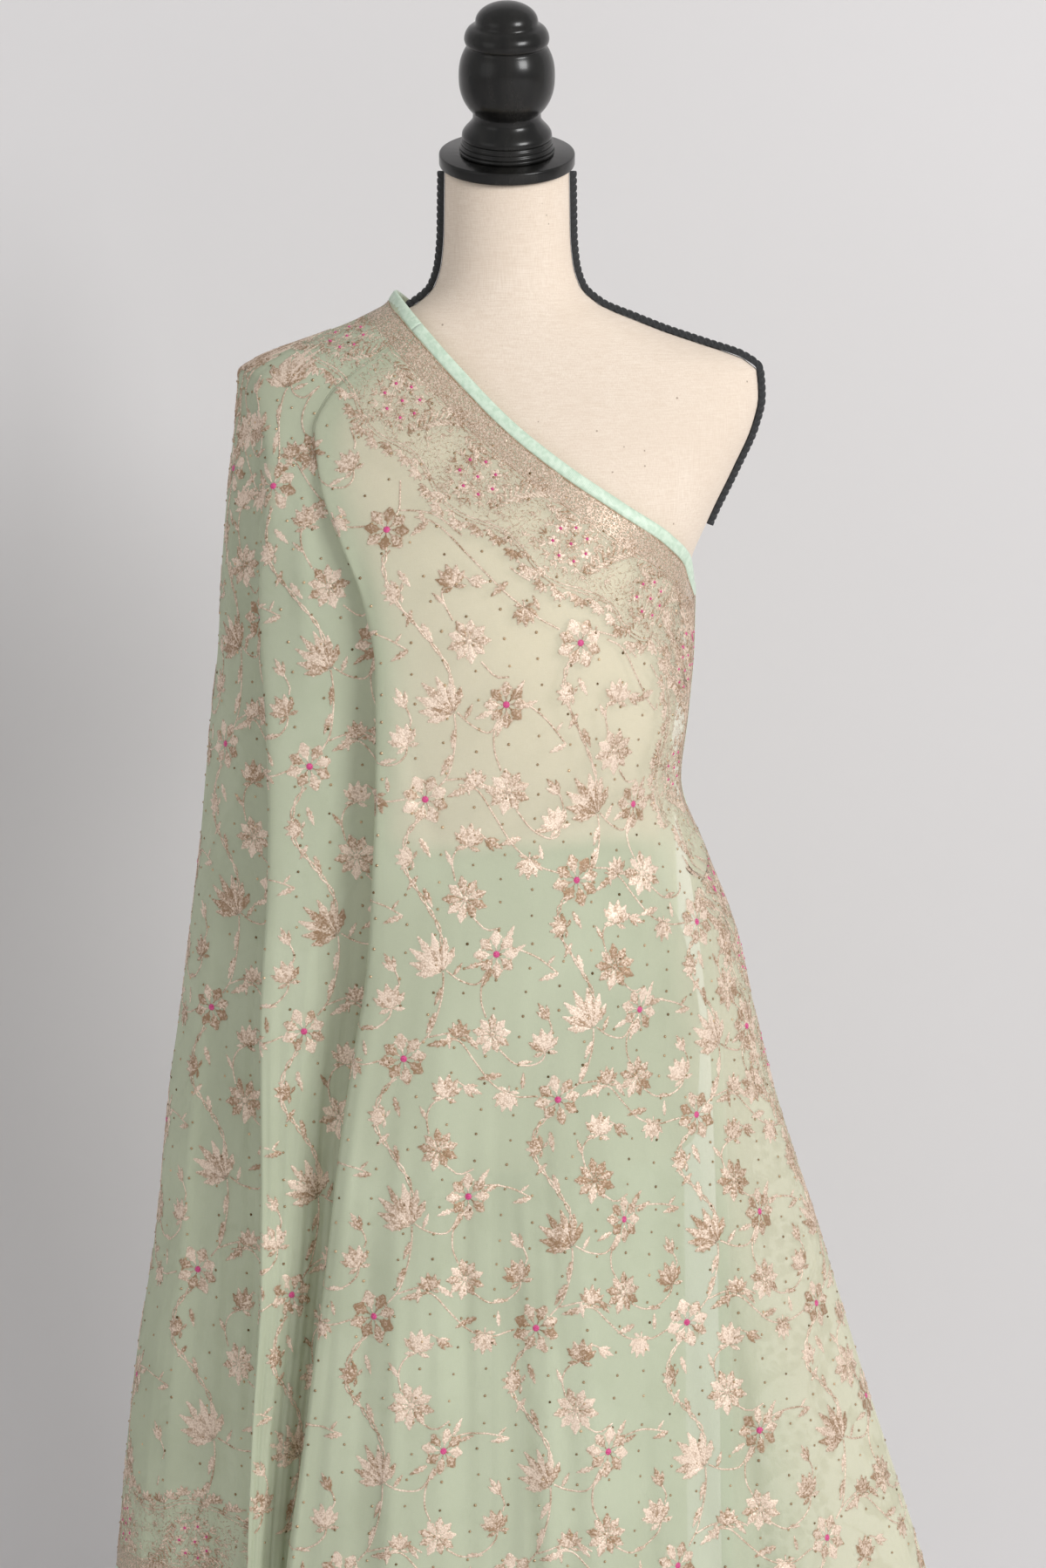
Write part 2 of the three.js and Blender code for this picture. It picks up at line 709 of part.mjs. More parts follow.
/**
 * Wall over a patch of the drape, with its faces at two distances from the surface.
 * places[column][row] is a [station, height] pair. Both end columns stand back by half a seam.
 */
function drapeWall(places, nearOffset, farOffset) {
  const endShift = (column) => {
    if (column === 0) {
      return SEAM / 2;
    }
    return column === places.length - 1 ? -SEAM / 2 : 0;
  };
  const face = (offset) =>
    places.map((column, c) =>
      column.map(([station, z]) => {
        const { point, normal, across } = drapeFrame(station, z);
        return point.addScaledVector(across, endShift(c)).addScaledVector(normal, offset);
      }),
    );
  return wall(face(nearOffset), face(farOffset));
}

/** Places of a stretch's points, column by column, each from its top down to the hem. */
function stretchPlaces(columns, rowCount, topOf, dropOf) {
  return columns.map((station) =>
    columnRows(topOf(station), dropOf(station), columnHem(station), rowCount).map((z) => [station, z]),
  );
}

function makeStretch(name, places) {
  return piece(name, drapeWall(places, -CLOTH_WALL / 2, CLOTH_WALL / 2), GEORGETTE);
}

/** A satin binding laid on the outside of a stretch, over some of the stretch's own places. */
function makeBinding(name, places) {
  const floor = CLOTH_WALL / 2 + SEAM;
  return piece(name, drapeWall(places, floor, floor + BINDING_WALL), SATIN);
}

// ---- the saree's stretches ----

const RETURN_COLUMNS = columnsOf(0, [4, 3, 3]);
const FRONT_COLUMNS = columnsOf(FLARE_FOLD, [5, 5, 5, 5, 5, 3]);
const PLEAT_COLUMNS = columnsOf(SECOND_VALLEY, [2, 3, 3, 3, 2, 4, 5]);
const BACK_COLUMNS = columnsOf(LEFT_SIDE, [5, 6, 6, 6, 5]);
const LONG_ROWS = 22;
const RETURN_ROWS = 14;

const topDrop = (station) => stripDrop(station, BINDING_WIDTH);
const frontTop = (station) => (station === FLARE_FOLD ? UNDERARM : columnTop(station));
const frontDrop = (station) => (station === FLARE_FOLD ? BINDING_WIDTH : topDrop(station));
const returnTop = () => RETURN_TOP;
const returnDrop = () => BINDING_WIDTH;

const FRONT_PLACES = stretchPlaces(FRONT_COLUMNS, LONG_ROWS, frontTop, frontDrop);
const PLEAT_PLACES = stretchPlaces(PLEAT_COLUMNS, LONG_ROWS, columnTop, topDrop);
const BACK_PLACES = stretchPlaces(BACK_COLUMNS, LONG_ROWS, columnTop, topDrop);
const RETURN_PLACES = stretchPlaces(RETURN_COLUMNS, RETURN_ROWS, returnTop, returnDrop);

function makeSaree() {
  const group = new THREE.Group();
  group.add(makeStretch('front_stretch', FRONT_PLACES));
  group.add(makeStretch('pleat_stretch', PLEAT_PLACES));
  group.add(makeStretch('back_stretch', BACK_PLACES));
  group.add(makeStretch('return_stretch', RETURN_PLACES));
  return group;
}

/** Bindings: the top and bottom strip of each stretch, and the first column of two of them. */
function makeBindings() {
  const group = new THREE.Group();
  const topStrip = (places) => places.map((column) => column.slice(0, 2));
  const hemStrip = (places) => places.map((column) => column.slice(-2));
  const sideStrip = (places, from, to) => places.slice(0, 2).map((column) => column.slice(from, to));
  group.add(makeBinding('binding_front_top', topStrip(FRONT_PLACES.slice(1))));
  group.add(makeBinding('binding_shoulder_front', topStrip(PLEAT_PLACES)));
  group.add(makeBinding('binding_back_top', topStrip(BACK_PLACES)));
  const waistRow = FRONT_PLACES[0].findIndex(([, z]) => z < RETURN_TOP) + 1;
  group.add(makeBinding('binding_underarm', sideStrip(FRONT_PLACES, 2, waistRow)));
  group.add(makeBinding('binding_return_edge', sideStrip(RETURN_PLACES, 1, -2)));
  group.add(makeBinding('binding_hem_front', hemStrip(FRONT_PLACES)));
  group.add(makeBinding('binding_hem_pleat', hemStrip(PLEAT_PLACES)));
  group.add(makeBinding('binding_hem_back', hemStrip(BACK_PLACES)));
  group.add(makeBinding('binding_hem_return', hemStrip(RETURN_PLACES)));
  return group;
}

function makeDressForm() {
  const group = new THREE.Group();
  group.add(makeBase(), makePole(), makeTorso());
  group.add(makeBraid('braid_left', -1), makeBraid('braid_right', 1));
  const cap = neckGroup();
  cap.add(makeNeckDisc(), makeNeckFinial());
  group.add(cap);
  return group;
}

const saree = new THREE.Group();
saree.add(makeDressForm(), makeSaree(), makeBindings());

export default saree;
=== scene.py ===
"""Finish of a georgette saree draped over one shoulder of a limbless dress form.

Every length is in millimetres until a mesh is written, which is in metres. +Z is up, +X is to the
viewer's right and the front faces -Y. The cloth is one sheet that winds round the form, as a smooth
curve through numbered stations at each height. All embroidery is laid on that same sheet.
"""

import json
import math

import bpy
import numpy as np
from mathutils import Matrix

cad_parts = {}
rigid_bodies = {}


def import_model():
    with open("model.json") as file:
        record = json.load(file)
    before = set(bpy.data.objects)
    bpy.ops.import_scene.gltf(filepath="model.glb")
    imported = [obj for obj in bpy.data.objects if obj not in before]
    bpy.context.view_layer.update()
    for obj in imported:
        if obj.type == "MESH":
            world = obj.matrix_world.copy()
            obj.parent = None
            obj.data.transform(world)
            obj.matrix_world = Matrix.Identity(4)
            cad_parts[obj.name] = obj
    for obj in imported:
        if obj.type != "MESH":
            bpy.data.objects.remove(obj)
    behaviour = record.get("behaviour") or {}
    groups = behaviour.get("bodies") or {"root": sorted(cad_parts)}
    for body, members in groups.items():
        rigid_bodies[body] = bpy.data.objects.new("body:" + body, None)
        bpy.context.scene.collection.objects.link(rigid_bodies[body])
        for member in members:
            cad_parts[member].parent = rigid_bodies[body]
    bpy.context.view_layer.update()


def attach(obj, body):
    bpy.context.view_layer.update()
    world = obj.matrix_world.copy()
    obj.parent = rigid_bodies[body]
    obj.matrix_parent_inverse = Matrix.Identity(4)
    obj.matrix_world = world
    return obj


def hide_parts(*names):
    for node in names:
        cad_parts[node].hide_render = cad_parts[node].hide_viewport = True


bl_info = {
    "name": "Georgette saree on a dress form",
    "version": (1, 0, 0),
    "blender": (4, 5, 0),
    "location": "View3D > Sidebar > Saree",
    "description": "Builds the cloth, embroidery, dress form and studio of a draped saree",
    "category": "Add Mesh",
}

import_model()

METRE = 0.001
GEOMETRY_SEED = 11
BODY = "root"


# ---- tables and curves ----


def table(names, rows):
    """Columns of numbers under the names given, from rows of values."""
    return dict(zip(names.split(), np.array(rows, float).T))


def smoothstep(value, low, high):
    """0 below low, 1 above high, and 3t^2 - 2t^3 between."""
    t = np.clip((value - low) / (high - low), 0, 1)
    return t * t * (3 - 2 * t)


def lerp(a, b, share):
    """Straight mix of a and b."""
    return a + (b - a) * share


def track(rows, key, column, at):
    """Smooth value of a column at places along its key, a cubic that never overshoots its rows."""
    x, y = rows[key], rows[column]
    if x[0] > x[-1]:
        x, y = x[::-1], y[::-1]
    slope = np.diff(y) / np.diff(x)
    total = slope[:-1] + slope[1:]
    agree = slope[:-1] * slope[1:] > 0
    inner = np.where(agree, 2 * slope[:-1] * slope[1:] / np.where(agree, total, 1), 0)
    tangent = np.concatenate([slope[:1], inner, slope[-1:]])
    i = np.clip(np.searchsorted(x, at) - 1, 0, len(x) - 2)
    span = x[i + 1] - x[i]
    t = np.clip((at - x[i]) / span, 0, 1)
    rise = 3 * t**2 - 2 * t**3
    ends = (t**3 - 2 * t**2 + t) * span * tangent[i] + (t**3 - t**2) * span * tangent[i + 1]
    return y[i] * (1 - rise) + y[i + 1] * rise + ends


def signed_power(value, power):
    """Power of a number's size with the number's sign."""
    return np.sign(value) * np.abs(value) ** power


def unit(vectors):
    """Vectors of length one."""
    return vectors / np.maximum(np.linalg.norm(vectors, axis=-1, keepdims=True), 1e-9)


def smooth_line(points, per_span):
    """Points along a curve through the given ones, each span a uniform Catmull-Rom cubic."""
    points = np.asarray(points, float)
    ends = [2 * points[:1] - points[1:2], points, 2 * points[-1:] - points[-2:-1]]
    knots = np.concatenate(ends)
    t = np.linspace(0, 1, per_span, endpoint=False)[:, None]
    spans = []
    for p0, p1, p2, p3 in zip(knots, knots[1:], knots[2:], knots[3:]):
        bend = 2 * p0 - 5 * p1 + 4 * p2 - p3
        spans.append(p1 + 0.5 * ((p2 - p0) * t + bend * t**2 + (3 * p1 - p0 - 3 * p2 + p3) * t**3))
    return np.concatenate([*spans, points[-1:]])


def length_along(points):
    """Length from the first point to each."""
    return np.concatenate([[0], np.cumsum(np.linalg.norm(np.diff(points, axis=0), axis=1))])


def at_lengths(even, length, values):
    """Each column of values read at the lengths asked for."""
    return np.stack([np.interp(even, length, column) for column in values.T], 1)


# ---- the drape: sizes shared with the solids ----

DRAPE_ROWS = table(
    "z left ridge1 ridge2 right inner front back side fold lap power",
    [
        [1431, -84, -60, -40, 84, 60, -52, 60, 0, 0, -8, 1.9],
        [1422, -90, -72, -44, 97, 60, -58, 67, 0, 0, -8, 1.9],
        [1409, -113.5, -96, -54, 121, 60, -63, 73, 0, 0, -9, 1.9],
        [1398, -142.4, -120, -66, 148, 60, -66, 77, 0, 0, -11, 1.9],
        [1388, -171, -146, -80, 172, 60, -69, 81, 0, 0, -12, 1.95],
        [1380, -190, -164, -92, 188, 60, -71, 84, 0, 0, -13, 2.0],
        [1370, -203, -179, -106, 197, 60, -74, 88, 0, 2, -13, 2.05],
        [1355, -204, -187, -122, 197, 60, -80, 95, 0, 4, -12, 2.1],
        [1330, -206, -181, -134, 192, 60, -90, 106, 0, 5, -10, 2.1],
        [1290, -211, -177, -130, 177, 60, -106, 116, 0, 8, -7, 2.15],
        [1250, -215, -180, -116, 157, 60, -124, 120, 0, 12, -3, 2.2],
        [1210, -218, -182, -101, 143, 60, -135, 121, 2, 15, 0, 2.2],
        [1160, -221, -180, -92, 142, 70, -139, 122, 4, 20, 1, 2.2],
        [1110, -227, -177, -92, 138, 90, -142, 123, 5, 25, 2, 2.2],
        [1060, -232, -176, -93, 133, 118, -143, 125, 6, 29, 3, 2.15],
        [1000, -238, -177, -96, 154, 138, -147, 128, 5, 32, 4, 2.0],
        [940, -246, -181, -100, 177, 148, -152, 132, 2, 35, 5, 1.85],
        [880, -254, -184, -109, 191, 155, -157, 136, -2, 37, 6, 1.75],
        [820, -263, -184, -118, 206, 160, -162, 141, -6, 39, 6, 1.65],
        [700, -276, -185, -132, 244, 165, -175, 151, -13, 42, 7, 1.55],
        [580, -295, -192, -147, 280, 168, -187, 161, -20, 45, 8, 1.5],
        [460, -308, -197, -162, 318, 170, -198, 170, -27, 46, 9, 1.5],
        [300, -322, -206, -168, 366, 173, -210, 181, -36, 47, 10, 1.5],
        [110, -338, -218, -176, 420, 178, -222, 192, -46, 48, 10, 1.5],
    ],
)
FRONT_EDGE_ROWS = table(
    "z x",
    [
        [1431, -84], [1406, -61], [1380, -37], [1339, 4], [1307, 45], [1278, 88], [1255, 121],
        [1234, 138], [1210, 142],
    ],
)
BACK_EDGE_ROWS = table(
    "z x",
    [[1431, -84], [1395, -46], [1350, 0], [1290, 50], [1220, 92], [1140, 120], [1070, 130]],
)
BACK_END_ROWS = table(
    "z x",
    [[1431, 80], [1372, 150], [1218, 134], [1070, 130], [940, 135], [700, 143], [380, 150]],
)
HEM_ROWS = table(
    "station z",
    [
        [0, 250], [3, 128], [4, 140], [5, 178], [6, 216], [7, 258], [8, 300], [9, 324], [11, 342],
        [12, 362], [13, 400], [14, 428], [15, 424], [16, 412], [17, 376], [18, 342], [19, 318], [21, 296],
    ],
)
# Soft upright creases of the solids, and finer ones that only the finished cloth has: x at the top
# and at the hem, heights of both ends, depth and half width.
CREASE_NAMES = "top_x top_z foot_x foot_z depth width"
FRONT_CREASES = table(
    CREASE_NAMES,
    [
        [-50, 1050, -92, 260, 8, 27],
        [8, 1010, -6, 260, -6, 26],
        [62, 1030, 74, 260, 9, 28],
        [104, 1040, 176, 260, -8, 27],
        [124, 1045, 262, 260, 7, 28],
    ],
)
BACK_CREASES = table(
    CREASE_NAMES,
    [
        [-150, 1300, -222, 260, 12, 34],
        [-92, 1260, -136, 260, -10, 32],
        [-36, 1240, -52, 260, 12, 34],
        [22, 1160, 22, 260, -9, 32],
        [76, 1090, 92, 260, 11, 32],
    ],
)
CREASE_FULL_AT = 0.55
FINE_FRONT_CREASES = table(
    CREASE_NAMES,
    [
        [-74, 900, -104, 210, 3.5, 8],
        [-28, 860, -40, 200, -3.2, 9],
        [30, 880, 28, 190, 3.8, 9],
        [88, 930, 118, 180, -3.8, 9],
        [112, 960, 206, 160, 4.3, 10],
        [122, 1010, 236, 150, -3.5, 8],
    ],
)
FINE_BACK_CREASES = table(
    CREASE_NAMES,
    [
        [-176, 1290, -262, 250, 3, 10],
        [-120, 1240, -178, 250, -3, 10],
        [-64, 1220, -92, 250, 2.6, 10],
        [-8, 1180, -14, 250, -2.8, 10],
        [50, 1120, 60, 250, 3, 10],
    ],
)
# Short drag creases, in the same columns. Each rises and dies away along its length.
FRONT_DRAGS = table(
    CREASE_NAMES,
    [
        [132, 1060, 40, 930, -2.6, 9],
        [134, 1052, 70, 850, 2.8, 9],
        [133, 1044, 96, 800, -2.6, 8],
        [-104, 1230, -60, 1010, 1.8, 9],
        [-98, 1180, -30, 960, -1.8, 9],
        [-20, 1300, 60, 1180, 1.0, 9],
        [20, 1250, 112, 1130, -1.2, 9],
        [-112, 1290, -96, 1090, -2.0, 8],
        [-150, 1340, -150, 1120, 1.6, 8],
        [-198, 1300, -204, 900, 2.4, 9],
        [-205, 1000, -246, 560, -2.6, 10],
        [-236, 900, -276, 470, 2.6, 10],
        [-150, 980, -166, 500, 1.8, 9],
    ],
)
BACK_DRAGS = table(
    CREASE_NAMES,
    [
        [-110, 1380, -30, 1160, 2.2, 11],
        [-140, 1350, -80, 1100, -2.2, 11],
        [-60, 1370, 40, 1180, -1.8, 11],
        [100, 1140, 30, 940, 2.0, 11],
        [-190, 1320, -200, 1000, 2.4, 11],
    ],
)

# Fine wrinkles that run down the cloth: waves a station, lean, phase and depth.
WRINKLES = table(
    "waves lean phase depth",
    [[1.55, 0.0012, 0.3, 1.3], [2.7, -0.0016, 1.9, 1.0], [4.3, 0.0021, 4.0, 0.6], [6.7, -0.003, 5.2, 0.3]],
)
WRINKLES_FROM = (1040, 640)
WRINKLES_COME_AND_GO = (170.0, 0.9)

# Stations of the drape's section.
FLARE_FOLD = 3
FRONT_PANEL_STARTS = 4
SECOND_RIDGE = 8
SECOND_VALLEY = 9
LEFT_SIDE = 16
BACK_END = 21
RETURN_TOP = 1036
UNDERARM = 1210
BACK_EDGE_FOOT = 1070
NECK_POINT = 1431
LOWEST_HEM = 128
FRONT_SHARES = (0.16, 0.38, 0.6, 0.82)
BACK_SHARES = (0.13, 0.33, 0.56, 0.79, 1)
PUSH = {
    "panel_end": -0.05,
    "ridge": -0.3,
    "valley": 0.5,
    "pleat_foot": 0.64,
    "pleat_middle": 0.16,
    "side_foot": 0.6,
    "side": 0.1,
}
LEAST_LAP = 0.3
PLEAT_FOOT_SHARE = 0.25
PLEAT_MIDDLE_SHARE = 0.55
SIDE_FOOT_SHARE = 0.2
LEAST_LAYER = 6
TURN = (9, 0.3)
TURN_DEPTH = (12, 0.3)
BEHIND = (24, 0.4)
INNER_EDGE_DEPTH = 3
LAYER_MIDDLE = 0.33
LEFT_POWER = (1.9, 2.15)
KNOT_STEP = 1.0


def section_stations(z):
    """Stations at heights z: a rounded outline about the form, with each fold pushed in or out."""
    size = {name: track(DRAPE_ROWS, "z", name, z) for name in DRAPE_ROWS if name != "z"}
    left, right, front, back = size["left"], size["right"], size["front"], size["back"]
    ridge1, ridge2 = size["ridge1"], size["ridge2"]
    middle, reach = (left + right) / 2, (right - left) / 2
    left_power = np.clip(size["power"], *LEFT_POWER)

    def power_at(cosine, deep):
        return np.where((cosine > 0) & (deep < 0), size["power"], left_power)

    def angle_of(x, deep):
        offset = np.clip((x - middle) / reach, -1, 1)
        return np.arccos(signed_power(offset, power_at(offset, deep) / 2))

    def round_at(angle, deep, push=0.0):
        c, s = np.cos(angle), np.sin(angle)
        bend = 2 / power_at(c, deep)
        edge = np.where(c > 0, size["side"], 0)
        y = edge + (deep - edge) * np.abs(s) ** bend + push * size["fold"]
        return middle + reach * signed_power(c, bend), y

    def front_at(x, push):
        return x, round_at(angle_of(x, front), front, push)[1]

    inner = np.minimum(size["inner"], right - LEAST_LAYER)
    side = size["side"]

    def within(limit):
        return np.minimum(limit[0], (right - inner) * limit[1])

    ridge_angle = angle_of(ridge2, front)
    valley2 = ridge2 + np.maximum(size["lap"], LEAST_LAP * (ridge1 - ridge2))
    pleat_start = valley2 + PLEAT_FOOT_SHARE * (ridge1 - ridge2)
    valley1 = ridge1 + np.maximum(size["lap"], LEAST_LAP * (left - ridge1))
    side_start = valley1 + SIDE_FOOT_SHARE * (left - ridge1)
    side_angle = (angle_of(side_start, front) + np.pi) / 2
    end_angle = angle_of(track(BACK_END_ROWS, "z", "x", z), back)
    pushes = (0, 0, 0, PUSH["panel_end"])
    stations = [
        (inner, side + within(BEHIND) + INNER_EDGE_DEPTH),
        (lerp(inner, right, LAYER_MIDDLE), side + within(BEHIND)),
        (right - within(TURN), side + within(TURN_DEPTH)),
        (right, side),
        *[round_at(share * ridge_angle, front, push) for share, push in zip(FRONT_SHARES, pushes)],
        front_at(ridge2, PUSH["ridge"]),
        front_at(valley2, PUSH["valley"]),
        front_at(pleat_start, PUSH["pleat_foot"]),
        front_at(lerp(pleat_start, ridge1, PLEAT_MIDDLE_SHARE), PUSH["pleat_middle"]),
        front_at(ridge1, PUSH["ridge"]),
        front_at(valley1, PUSH["valley"]),
        front_at(side_start, PUSH["side_foot"]),
        round_at(side_angle, front, PUSH["side"]),
        (left, 0 * left),
        *[round_at(lerp(np.pi, end_angle, share), back) for share in BACK_SHARES],
    ]
    return np.array(stations).transpose(2, 0, 1)


KNOT_HEIGHTS = np.arange(LOWEST_HEM - 18, NECK_POINT + KNOT_STEP, KNOT_STEP)
KNOTS = section_stations(KNOT_HEIGHTS)


def upright_creases(rows, x, z):
    """Depth of creases that grow from nothing at the top and run on to the hem."""
    total = np.zeros_like(x)
    for top_x, top_z, foot_x, foot_z, depth, width in zip(*rows.values()):
        fall = (top_z - z) / (top_z - foot_z)
        middle = lerp(top_x, foot_x, fall)
        grown = np.where(fall > 0, smoothstep(fall, 0, CREASE_FULL_AT), 0)
        total += depth * grown * np.exp(-(((x - middle) / width) ** 2))
    return total


def drag_creases(rows, x, z):
    """Depth of short creases that rise and die away between their ends."""
    total = np.zeros_like(x)
    for top_x, top_z, foot_x, foot_z, depth, width in zip(*rows.values()):
        fall = np.clip((top_z - z) / (top_z - foot_z), 0, 1)
        middle = lerp(top_x, foot_x, fall)
        total += depth * np.sin(np.pi * fall) ** 1.5 * np.exp(-(((x - middle) / width) ** 2))
    return total


def wrinkles(station, z):
    """Depth of fine wrinkles: sines across the cloth that come and go down it."""
    total = np.zeros_like(station)
    length, drift = WRINKLES_COME_AND_GO
    for waves, lean, phase, depth in zip(*WRINKLES.values()):
        swell = 0.6 + 0.4 * np.sin(z / length * (1 + 0.2 * waves) + station * drift + phase)
        total += depth * swell * np.sin(2 * np.pi * (waves * station + lean * z) + phase)
    return total * (1 - smoothstep(z, *WRINKLES_FROM[::-1]))


def drape(station, z):
    """Points of the cloth: a Catmull-Rom curve through the stations, with creases pushed out."""
    station, z = np.broadcast_arrays(np.asarray(station, float), np.asarray(z, float))
    row_at = np.clip((z - KNOT_HEIGHTS[0]) / KNOT_STEP, 0, len(KNOT_HEIGHTS) - 1.001)
    row = row_at.astype(int)
    share = (row_at - row)[..., None]
    last = KNOTS.shape[1] - 1
    i = np.clip(np.floor(station).astype(int), 0, last - 1)
    t = (station - i)[..., None]

    def knot(k):
        k = np.clip(k, 0, last)
        return KNOTS[row, k] * (1 - share) + KNOTS[row + 1, k] * share

    p1, p2 = knot(i), knot(i + 1)
    p0 = np.where((i > 0)[..., None], knot(i - 1), 2 * p1 - p2)
    p3 = np.where((i + 2 <= last)[..., None], knot(i + 2), 2 * p2 - p1)
    bend = 2 * p0 - 5 * p1 + 4 * p2 - p3
    flat = p1 + 0.5 * ((p2 - p0) * t + bend * t**2 + (3 * p1 - p0 - 3 * p2 + p3) * t**3)
    x, y = flat[..., 0], flat[..., 1].copy()
    on_front = smoothstep(station, FLARE_FOLD, FRONT_PANEL_STARTS)
    before_ridge = 1 - smoothstep(station, SECOND_RIDGE - 1, SECOND_RIDGE)
    y -= on_front * before_ridge * upright_creases(FRONT_CREASES, x, z)
    y -= on_front * before_ridge * upright_creases(FINE_FRONT_CREASES, x, z)
    before_side = 1 - smoothstep(station, LEFT_SIDE - 1.2, LEFT_SIDE - 0.2)
    y -= on_front * before_side * (drag_creases(FRONT_DRAGS, x, z) + wrinkles(station, z))
    on_back = smoothstep(station, LEFT_SIDE + 0.4, LEFT_SIDE + 2)
    y += on_back * upright_creases(BACK_CREASES, x, z)
    y += on_back * (upright_creases(FINE_BACK_CREASES, x, z) + drag_creases(BACK_DRAGS, x, z))
    y += on_back * wrinkles(station, z)
    return np.stack([x, y, z], -1)


def cloth_frame(station, z):
    """Points of the cloth with their outward directions."""
    ds, dz = 0.02, 1.5
    before, after = np.maximum(station - ds, 0), np.minimum(station + ds, BACK_END)
    along = drape(after, z) - drape(before, z)
    up = unit(drape(station, np.minimum(z + dz, NECK_POINT)) - drape(station, z - dz))
    return drape(station, z), unit(np.cross(up, along))


def find_tops(station):
    """Height where each column meets the top edge, by halving."""
    on_back = station > LEFT_SIDE
    low = np.where(on_back, BACK_EDGE_FOOT, UNDERARM).astype(float)
    high = np.full_like(low, NECK_POINT)
    for _ in range(30):
        z = (low + high) / 2
        edge = np.where(
            on_back, track(BACK_EDGE_ROWS, "z", "x", z), track(FRONT_EDGE_ROWS, "z", "x", z)
        )
        above = drape(station, z)[..., 0] > edge
        high, low = np.where(above, z, high), np.where(above, low, z)
    return (low + high) / 2


TOP_STATIONS = np.linspace(FLARE_FOLD, BACK_END, 1801)
TOPS = find_tops(TOP_STATIONS)
TOPS[0] = UNDERARM


def top_of(station):
    """Height of the cloth's top edge at a station, from the flare's fold round to the back."""
    return np.interp(station, TOP_STATIONS, TOPS)


def hem_of(station):
    """Height of the cloth's lower edge at a station."""
    return track(HEM_ROWS, "station", "z", np.asarray(station, float))


# ---- flat cloth: where a pattern charted on flat cloth lies on the drape ----

ACROSS_STEP = 2.0
HEIGHT_STEP = 6.0
FINE_STATIONS = np.linspace(0, BACK_END, 841)
TABLE_HEIGHTS = np.arange(KNOT_HEIGHTS[0], NECK_POINT + HEIGHT_STEP, HEIGHT_STEP)
PLAIN_HEIGHT = 900.0
FAN_SHARE = (0.3, 0.85)
SLOPE_DIES_AFTER = 1000.0
FIRST_DROP = 100.0
LINE_SAMPLES = 600


def measure_across():
    """Distance across the cloth at each height and station, and the station at each distance.

    The distance is the length along the level section from the second ridge. It is mixed with that
    at one plain height, so that columns of the pattern fan out a little where the cloth does.
    """
    points = drape(FINE_STATIONS[None, :], TABLE_HEIGHTS[:, None])
    steps = np.linalg.norm(np.diff(points[..., :2], axis=1), axis=-1)
    length = np.concatenate([np.zeros((len(points), 1)), np.cumsum(steps, 1)], 1)
    ridge = int(np.argmin(np.abs(FINE_STATIONS - SECOND_RIDGE)))
    length -= length[:, ridge : ridge + 1]
    plain = length[int(np.argmin(np.abs(TABLE_HEIGHTS - PLAIN_HEIGHT)))]
    share = lerp(*FAN_SHARE, smoothstep(FINE_STATIONS, SECOND_RIDGE, LEFT_SIDE))
    across = lerp(length, plain[None, :], share[None, :])
    across = np.maximum.accumulate(across, axis=1)
    marks = np.arange(across.min(), across.max(), ACROSS_STEP)
    stations = np.array([np.interp(marks, row, FINE_STATIONS) for row in across])
    return across, marks, stations


ACROSS, MARKS, MARK_STATIONS = measure_across()


def bilinear(values, row_at, column_at):
    """Values of a grid between its points, held inside the grid."""
    row_at = np.clip(row_at, 0, values.shape[0] - 1.001)
    column_at = np.clip(column_at, 0, values.shape[1] - 1.001)
    r, c = row_at.astype(int), column_at.astype(int)
    fr, fc = row_at - r, column_at - c
    if values.ndim > 2:
        fr, fc = fr[..., None], fc[..., None]
    low = values[r, c] * (1 - fc) + values[r, c + 1] * fc
    high = values[r + 1, c] * (1 - fc) + values[r + 1, c + 1] * fc
    return low * (1 - fr) + high * fr


def station_of(across, z):
    """Station at a distance across the cloth, at height z."""
    row = (z - TABLE_HEIGHTS[0]) / HEIGHT_STEP
    return bilinear(MARK_STATIONS, row, (across - MARKS[0]) / ACROSS_STEP)


def across_of(station, z):
    """Distance across the cloth of a station, at height z."""
    row = (z - TABLE_HEIGHTS[0]) / HEIGHT_STEP
    return bilinear(ACROSS, row, station / (FINE_STATIONS[1] - FINE_STATIONS[0]))


def drop_of(station):
    """How far the top edge lies below the neck at a station."""
    return NECK_POINT - top_of(np.clip(station, FLARE_FOLD, BACK_END))


def place_flat(across, height):
    """Height on the drape of a flat-cloth place: rows follow the edge's slope near the top."""
    follows = smoothstep(height, NECK_POINT - SLOPE_DIES_AFTER, NECK_POINT)
    z = height - FIRST_DROP * follows
    for _ in range(6):
        z = height - drop_of(station_of(across, z)) * follows
    return z


def out_at(across, z):
    """Outward direction of the cloth at places given by distance across and height."""
    d = 1.5
    side = drape(station_of(across + d, z), z) - drape(station_of(across - d, z), z)
    rise = drape(station_of(across, z + d), z + d) - drape(station_of(across, z - d), z - d)
    return unit(np.cross(rise, side))


OUT_TABLE = out_at(*np.broadcast_arrays(MARKS[None, ::2], TABLE_HEIGHTS[:, None]))


def out_near(across, z):
    """Outward direction read from a table worked out once."""
    row = (z - TABLE_HEIGHTS[0]) / HEIGHT_STEP
    return unit(bilinear(OUT_TABLE, row, (across - MARKS[0]) / (2 * ACROSS_STEP)))


def on_cloth(across, z, height):
    """Points at a height over the cloth's middle, in millimetres."""
    point = drape(station_of(across, z), z)
    return point + out_near(across, z) * np.asarray(height)[..., None]


def edge_line(stations, heights, spacing=3.0):
    """Evenly spaced places along a line on the cloth, given as stations and heights."""
    points = drape(stations, heights)
    length = length_along(points)
    even = np.linspace(0, length[-1], max(int(length[-1] / spacing), 2) + 1)
    return np.interp(even, length, stations), np.interp(even, length, heights), even


def top_line(first, last):
    """Top edge between two stations, seen left to right."""
    stations = np.linspace(first, last, LINE_SAMPLES)
    return stations, top_of(stations)


